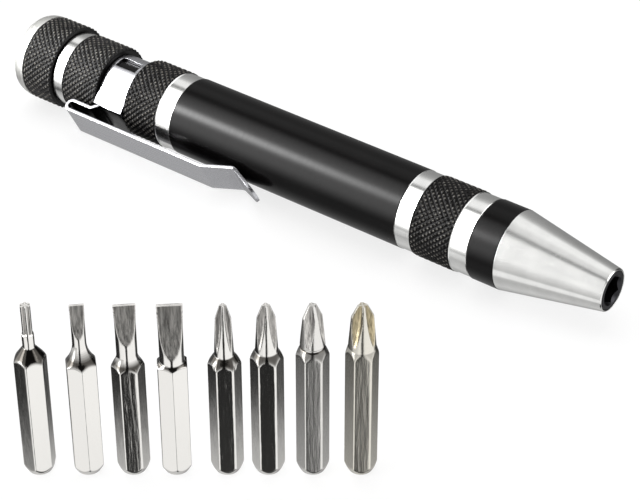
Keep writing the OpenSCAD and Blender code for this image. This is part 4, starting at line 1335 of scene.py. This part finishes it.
def plated(name, colour, ground_colour, roughness):
    """Nickel plated steel, duller and lined where ground, with a painted dark shoulder reflection."""
    material, tree = new_material(name)
    place = add(tree, "ShaderNodeTexCoord").outputs["Object"]
    ground = add(tree, "ShaderNodeAttribute", attribute_name="ground").outputs["Fac"]
    shoulder = add(tree, "ShaderNodeAttribute", attribute_name="shoulder").outputs["Fac"]
    drawn, lined = (
        add(tree, "ShaderNodeMapping", {
            "Vector": place, "Scale": (1 / (width * MM), 1 / (width * MM), 1 / (length * MM)),
        }) for width, length in (WAVES, GRIT_LINES)
    )
    waves = add(tree, "ShaderNodeTexNoise", {"Vector": drawn, "Scale": 1.0, "Detail": 3.0})
    lines = add(tree, "ShaderNodeTexNoise", {"Vector": lined, "Scale": 1.0, "Detail": 4.0, "Roughness": 0.7})
    tone = add(tree, "ShaderNodeMapRange", {
        "Value": lines, "From Min": 0.35, "From Max": 0.62, "To Min": 0.3, "To Max": 1.0,
    })
    ground_tone = add(tree, "ShaderNodeVectorMath", {
        0: linear(ground_colour)[:3], "Scale": tone,
    }, operation="SCALE")
    # Painted dark reflection: the steep shoulder is darkened toward a fixed dark colour
    plate = add(tree, "ShaderNodeMix", {
        "Factor": shoulder, "A": linear(colour), "B": linear(SHOULDER_DARK_REFLECTION),
    }, data_type="RGBA").outputs["Result"]
    base = add(tree, "ShaderNodeMix", {
        "Factor": ground, "A": plate, "B": ground_tone,
    }, data_type="RGBA").outputs["Result"]
    gloss = add(tree, "ShaderNodeMapRange", {"Value": ground, "To Min": roughness, "To Max": GROUND_GLOSS})
    height = add(tree, "ShaderNodeMix", {"Factor": ground, "A": waves, "B": lines}, data_type="FLOAT")
    bump = add(tree, "ShaderNodeBump", {
        "Height": height, "Strength": 0.4, "Distance": PLATING_DEPTH * MM,
    })
    shader = add(tree, "ShaderNodeBsdfPrincipled", {
        "Base Color": base, "Metallic": 1.0, "Roughness": gloss, "Normal": bump,
    })
    add(tree, "ShaderNodeOutputMaterial", {"Surface": shader})
    return material


bright_nickel = plated("bright_nickel_plate", "#F5F3EF", "#DAD7D2", 0.09)
satin_nickel = plated("satin_nickel_plate", "#EFEDE9", "#DAD7D2", 0.2)
warm_nickel = plated("warm_nickel_plate", "#EDE9DE", "#DCCDA8", 0.2)
print("plated finishes:", bright_nickel.name, satin_nickel.name, warm_nickel.name)

# %% [markdown]
# The limits are joined by a sum of high powers, which is nearly the smallest of them but rounds
# the edge where two meet, as tumbling does. The share that one limit has in the sum also says how
# much of a point it made, which is the number that the plating reads: the wheel's share marks the
# ground tip, and the turned outline's share on the steep shoulder sets the painted dark reflection.

# %% Joining the limits
ROUNDING_POWER = 36.0
FOOT_STEP, SHANK_STEP, NOSE_STEP, NOSE_LEAD, TIP_STEP = 0.1, 1.6, 0.09, 0.6, 0.02
# The shoulder's painted dark reflection: the slope where it starts, the span of slope over which it grows,
# and the share of the nose near the tip that it leaves out
STEEP_FROM, STEEP_SPAN, SHOULDER_SHARE = 0.2, 0.35, 0.6


def bit_form(nose_outline, nose_len, hex_turn, grind):
    """A bit's heights, its radius round each, how ground each point is, and its painted dark reflection."""
    foot_slope = (UNCUT_R - FOOT_D / 2) / (CORNER_R - FOOT_D / 2)
    outline = [(0, FOOT_D / 2), (FOOT_LEN * foot_slope, UNCUT_R), (BIT_LEN - nose_len, UNCUT_R)]
    outline += [(BIT_LEN - from_tip, radius) for from_tip, radius in reversed(nose_outline)]
    heights = np.concatenate([
        np.arange(0, 2 * FOOT_LEN, FOOT_STEP),
        np.arange(2 * FOOT_LEN, BIT_LEN - nose_len - NOSE_LEAD, SHANK_STEP),
        np.arange(BIT_LEN - nose_len - NOSE_LEAD, BIT_LEN - TIP_STEP, NOSE_STEP),
        [BIT_LEN],
    ])
    hexagon = [row[None, :] + np.zeros((len(heights), 1)) for row in flats(hex_turn)]
    turned, cut = turned_limit(heights, outline), grind(heights)
    smallest = sum(limit ** -ROUNDING_POWER for limit in [*hexagon, turned, cut])
    steepness = (-np.gradient(turned[:, 0], heights) - STEEP_FROM) / STEEP_SPAN
    steep = np.clip(steepness, 0, 1) * (heights < BIT_LEN - nose_len * SHOULDER_SHARE)
    radius = smallest ** (-1 / ROUNDING_POWER)
    ground = cut ** -ROUNDING_POWER / smallest
    # How much painted dark reflection each point of the steep shoulder gets
    shoulder = steep[:, None] * turned ** -ROUNDING_POWER / smallest
    return heights, radius, ground, shoulder


print("edges rounded by a power of", ROUNDING_POWER)

# %% [markdown]
# A bit's mesh is a ring of points for each height, closed by a fan at the foot and one at the top.
# The bits stand square to the camera, so each is turned a little less than the one before it. They
# are hidden from mirror reflections, because the photograph's pen doesn't show them.

# %% Building a bit
ROW_TURN = 36.54
STANDING_TURNS = {
    "bit_six_lobe": 9.5, "bit_slot_small": 7.9, "bit_slot_medium": 6.3, "bit_slot_large": 4.9,
    "bit_cross_small": 3.1, "bit_cross_medium": 1.8, "bit_cross_large": 0.3, "bit_cross_extra": -1.4,
}
BIT_SHARP = 42
bodies = frame["record"]["behaviour"]["bodies"]
body_of = {node: body for body, members in bodies.items() for node in members}


def make_bit(node, nose_outline, nose_len, hex_turn, material, grind):
    """Builds a bit over its node: nose_outline holds (distance from the tip, radius) pairs in mm."""
    low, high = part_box(node)
    axis = (low + high) / 2
    heights, radius, ground, shoulder = bit_form(nose_outline, nose_len, hex_turn, grind)
    angles = turns + math.radians(ROW_TURN + STANDING_TURNS[node])
    x = axis.x + radius * MM * np.cos(angles)
    y = axis.y + radius * MM * np.sin(angles)
    z = low.z + heights[:, None] * MM + np.zeros_like(radius)
    verts = np.stack([x, y, z], axis=-1).reshape(-1, 3)
    foot, top, last_ring = len(verts), len(verts) + 1, len(verts) - BIT_STEPS
    verts = np.vstack([verts, [axis.x, axis.y, low.z], [axis.x, axis.y, high.z]])
    around = [(k, (k + 1) % BIT_STEPS) for k in range(BIT_STEPS)]
    faces = [
        (ring + k, ring + m, ring + BIT_STEPS + m, ring + BIT_STEPS + k)
        for ring in range(0, last_ring, BIT_STEPS) for k, m in around
    ]
    for k, m in around:
        faces += [(foot, m, k), (top, last_ring + k, last_ring + m)]
    mesh = bpy.data.meshes.new(node + "_plated")
    mesh.from_pydata(verts.tolist(), [], faces)
    # The ground share and the shoulder's painted dark reflection are stored on the points
    for layer_name, layer in (("ground", ground), ("shoulder", shoulder)):
        values = np.append(np.clip(layer, 0, 1).reshape(-1), [0.0, 0.0]).astype(np.float32)
        mesh.attributes.new(layer_name, "FLOAT", "POINT").data.foreach_set("value", values)
    mesh.materials.append(material)
    shade(mesh, BIT_SHARP)
    bit = new_object(node + "_plated", mesh)
    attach(bit, body_of[node])
    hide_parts(node)
    bit.visible_glossy = False
    print(node, len(mesh.polygons), "faces, widest", round(float(radius.max()), 3), "mm")


print("bits ride on:", [body_of[node] for node in STANDING_TURNS])

# %% [markdown]
# Eight bits stand in the row. The first is the six-lobe bit. Its thin tip is followed by a neck
# that flares out to the hexagon. Three slotted bits come next: the blade's faces are ground
# hollow, and the nose flares out in a curve.

# %% Six-lobe and slotted bits
LOBE_R, LOBE_GROOVE_R, LOBE_SHAFT_R, LOBE_HEX_TURN = 0.71, 0.21, 0.83, 12
LOBE_LEN, LOBE_NECK, LOBE_NOSE = 4.6, 6.8, 9.05
make_bit("bit_six_lobe", [
    (0, LOBE_R), (LOBE_LEN, LOBE_R), (LOBE_LEN + LOBE_SHAFT_R - LOBE_R, LOBE_SHAFT_R),
    (LOBE_NECK, LOBE_SHAFT_R), (LOBE_NOSE, UNCUT_R),
], LOBE_NOSE, LOBE_HEX_TURN, bright_nickel, partial(
    lobe_limit, lobe_r=LOBE_R, groove_r=LOBE_GROOVE_R, lobe_len=LOBE_LEN,
))

SHAFT_SHARE, FLARE_STEPS = 0.94, 12
# Blade's width and thickness, ground length, flare's and nose's length in mm, hexagon's turn
SLOTTED = {
    "bit_slot_small": (2.0, 0.4, 5.1, 3.6, 9.7, 32),
    "bit_slot_medium": (3.0, 0.5, 5.8, 2.2, 10.1, 0),
    "bit_slot_large": (3.5, 0.6, 8.0, 0.7, 9.7, 30),
}
for node, (blade_w, blade_t, ground_len, flare, nose, hex_turn) in SLOTTED.items():
    shaft_r = SHAFT_SHARE * blade_w / 2
    outline = [(0, blade_w / 2), (ground_len / 2, shaft_r)]
    outline += [
        (nose - flare + flare * s, shaft_r + (UNCUT_R - shaft_r) * s * s)
        for s in (k / FLARE_STEPS for k in range(FLARE_STEPS + 1))
    ]
    grind = partial(blade_limit, blade_t=blade_t, shaft_r=shaft_r, ground_len=ground_len)
    make_bit(node, outline, nose, hex_turn, bright_nickel, grind)

# %% [markdown]
# Four cross bits end the row, from the smallest to the largest. The third has a narrow groove
# turned behind its flutes. They are turned to points of view as in the photograph, so the flutes
# show from a different side on each.

# %% Cross bits
TIP_SHARE, WEB_SHARE, POINT_SHARE, POINT_LEN_SHARE = 0.34, 0.13, 0.8, 0.22
NECK_SHARE, NECK_STEP, FLUTE_LEN_SHARE, RIM_FLAT_SHARE = 0.82, 0.02, 0.74, 0.1
RIM_SLOPE = math.tan(math.radians(46.0))
# Shaft's diameter and nose's length in mm, turns of flutes and hexagon, groove's width and depth
CROSSES = {
    "bit_cross_small": (2.66, 9.8, 0, 0, 0, 0, bright_nickel),
    "bit_cross_medium": (3.1, 9.0, 6, 0, 0, 0, bright_nickel),
    "bit_cross_large": (3.4, 8.35, 24, 3, 0.5, 0.15, satin_nickel),
    "bit_cross_extra": (3.8, 8.2, 12, 4, 0, 0, warm_nickel),
}
for node, (shaft_d, nose, flute_turn, hex_turn, groove, sink, metal) in CROSSES.items():
    shaft_r, neck = shaft_d / 2, NECK_SHARE * nose
    web_r = WEB_SHARE * shaft_d
    outline = [
        (0, TIP_SHARE * shaft_r), (POINT_LEN_SHARE * nose, POINT_SHARE * shaft_r),
        (neck - groove, shaft_r),
    ]
    if sink:
        outline += [(neck - groove + sink, shaft_r - sink), (neck, shaft_r - sink)]
    outline += [(neck + NECK_STEP, shaft_r), (nose, UNCUT_R)]
    grind = partial(
        flute_limit, web_r=web_r, wheel=wheel_radius(shaft_r - web_r, FLUTE_LEN_SHARE * nose),
        rim_flat=RIM_FLAT_SHARE * shaft_r, slope=RIM_SLOPE, flute_turn=flute_turn,
    )
    make_bit(node, outline, nose, hex_turn, metal, grind)

# %% [markdown]
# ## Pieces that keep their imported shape
# The socket sleeve, the magnet, the rubber ring, the pin, the washer and the button are already
# the right shape, so they only need a finish. Moulded nitrile rubber is black with a fine grain
# that dulls it. The washer is stamped from acetal sheet, a milky white plastic that lets a little
# light in, so it looks soft at its edges.

# %% Materials: rubber and acetal
# Colour, grain in mm, its detail, lowest and highest tone, strength of the bump, shader inputs
MOULDED = {
    "nitrile_rubber": ("#1C1C1D", 0.12, 2.0, (0.7, 1.3), 0.2, {"Roughness": 0.55}),
    "acetal_sheet": ("#E6E5DE", 0.4, 3.0, (0.93, 1.04), 0.0, {"Roughness": 0.4, "Subsurface Weight": 0.1}),
}
GRAIN_DEPTH = 0.01
moulded = {}
for name, (colour, grain_size, detail, tones, strength, finish) in MOULDED.items():
    moulded[name], tree = new_material(name)
    place = add(tree, "ShaderNodeTexCoord").outputs["Object"]
    grain = add(tree, "ShaderNodeTexNoise", {
        "Vector": place, "Scale": 1 / (grain_size * MM), "Detail": detail,
    })
    tone = add(tree, "ShaderNodeMapRange", {"Value": grain, "To Min": tones[0], "To Max": tones[1]})
    base = add(tree, "ShaderNodeVectorMath", {0: linear(colour)[:3], "Scale": tone}, operation="SCALE")
    inputs = {"Base Color": base, **finish}
    if strength:
        inputs["Normal"] = add(tree, "ShaderNodeBump", {
            "Height": grain, "Strength": strength, "Distance": GRAIN_DEPTH * MM,
        })
    shader = add(tree, "ShaderNodeBsdfPrincipled", inputs)
    add(tree, "ShaderNodeOutputMaterial", {"Surface": shader})
print("made", list(moulded))

# %% [markdown]
# The socket sleeve is steel, blackened to keep rust off it, and looks dark grey. The pin is plain
# turned steel, a little greyer than the rings. The magnet is plated with nickel, because bare
# magnets crumble, and looks like a dull mirror.

# %% Finishes of the kept pieces
FINISHES = {
    "bit_socket": (turned_metal("blackened_steel", "#3A3A3D", 0.34, 0.4, 0.2), "dark_steel"),
    "magnet": (turned_metal("nickel_plated_magnet", "#D8D8DC", 0.2, 0.0, 0.05), "plated_magnet"),
    "nose_o_ring": (moulded["nitrile_rubber"], "black_rubber"),
    "swivel_pin": (turned_metal("turned_steel", "#C6C6C8", 0.25, 0.5, 0.2), "plain_steel"),
    "thrust_washer": (moulded["acetal_sheet"], "white_acetal"),
    "end_button": (turned_aluminium, "bright_aluminium"),
}
for node, (material, slot) in FINISHES.items():
    kept = frame["nodes"][node]
    kept.data.materials.clear()
    kept.data.materials.append(material)
print("kept pieces:", list(FINISHES))

# %% [markdown]
# The imported model's box is printed, in mm.

# %% The imported model's box
print("packed box, mm:", [[round(c / MM, 2) for c in corner] for corner in cad_box])
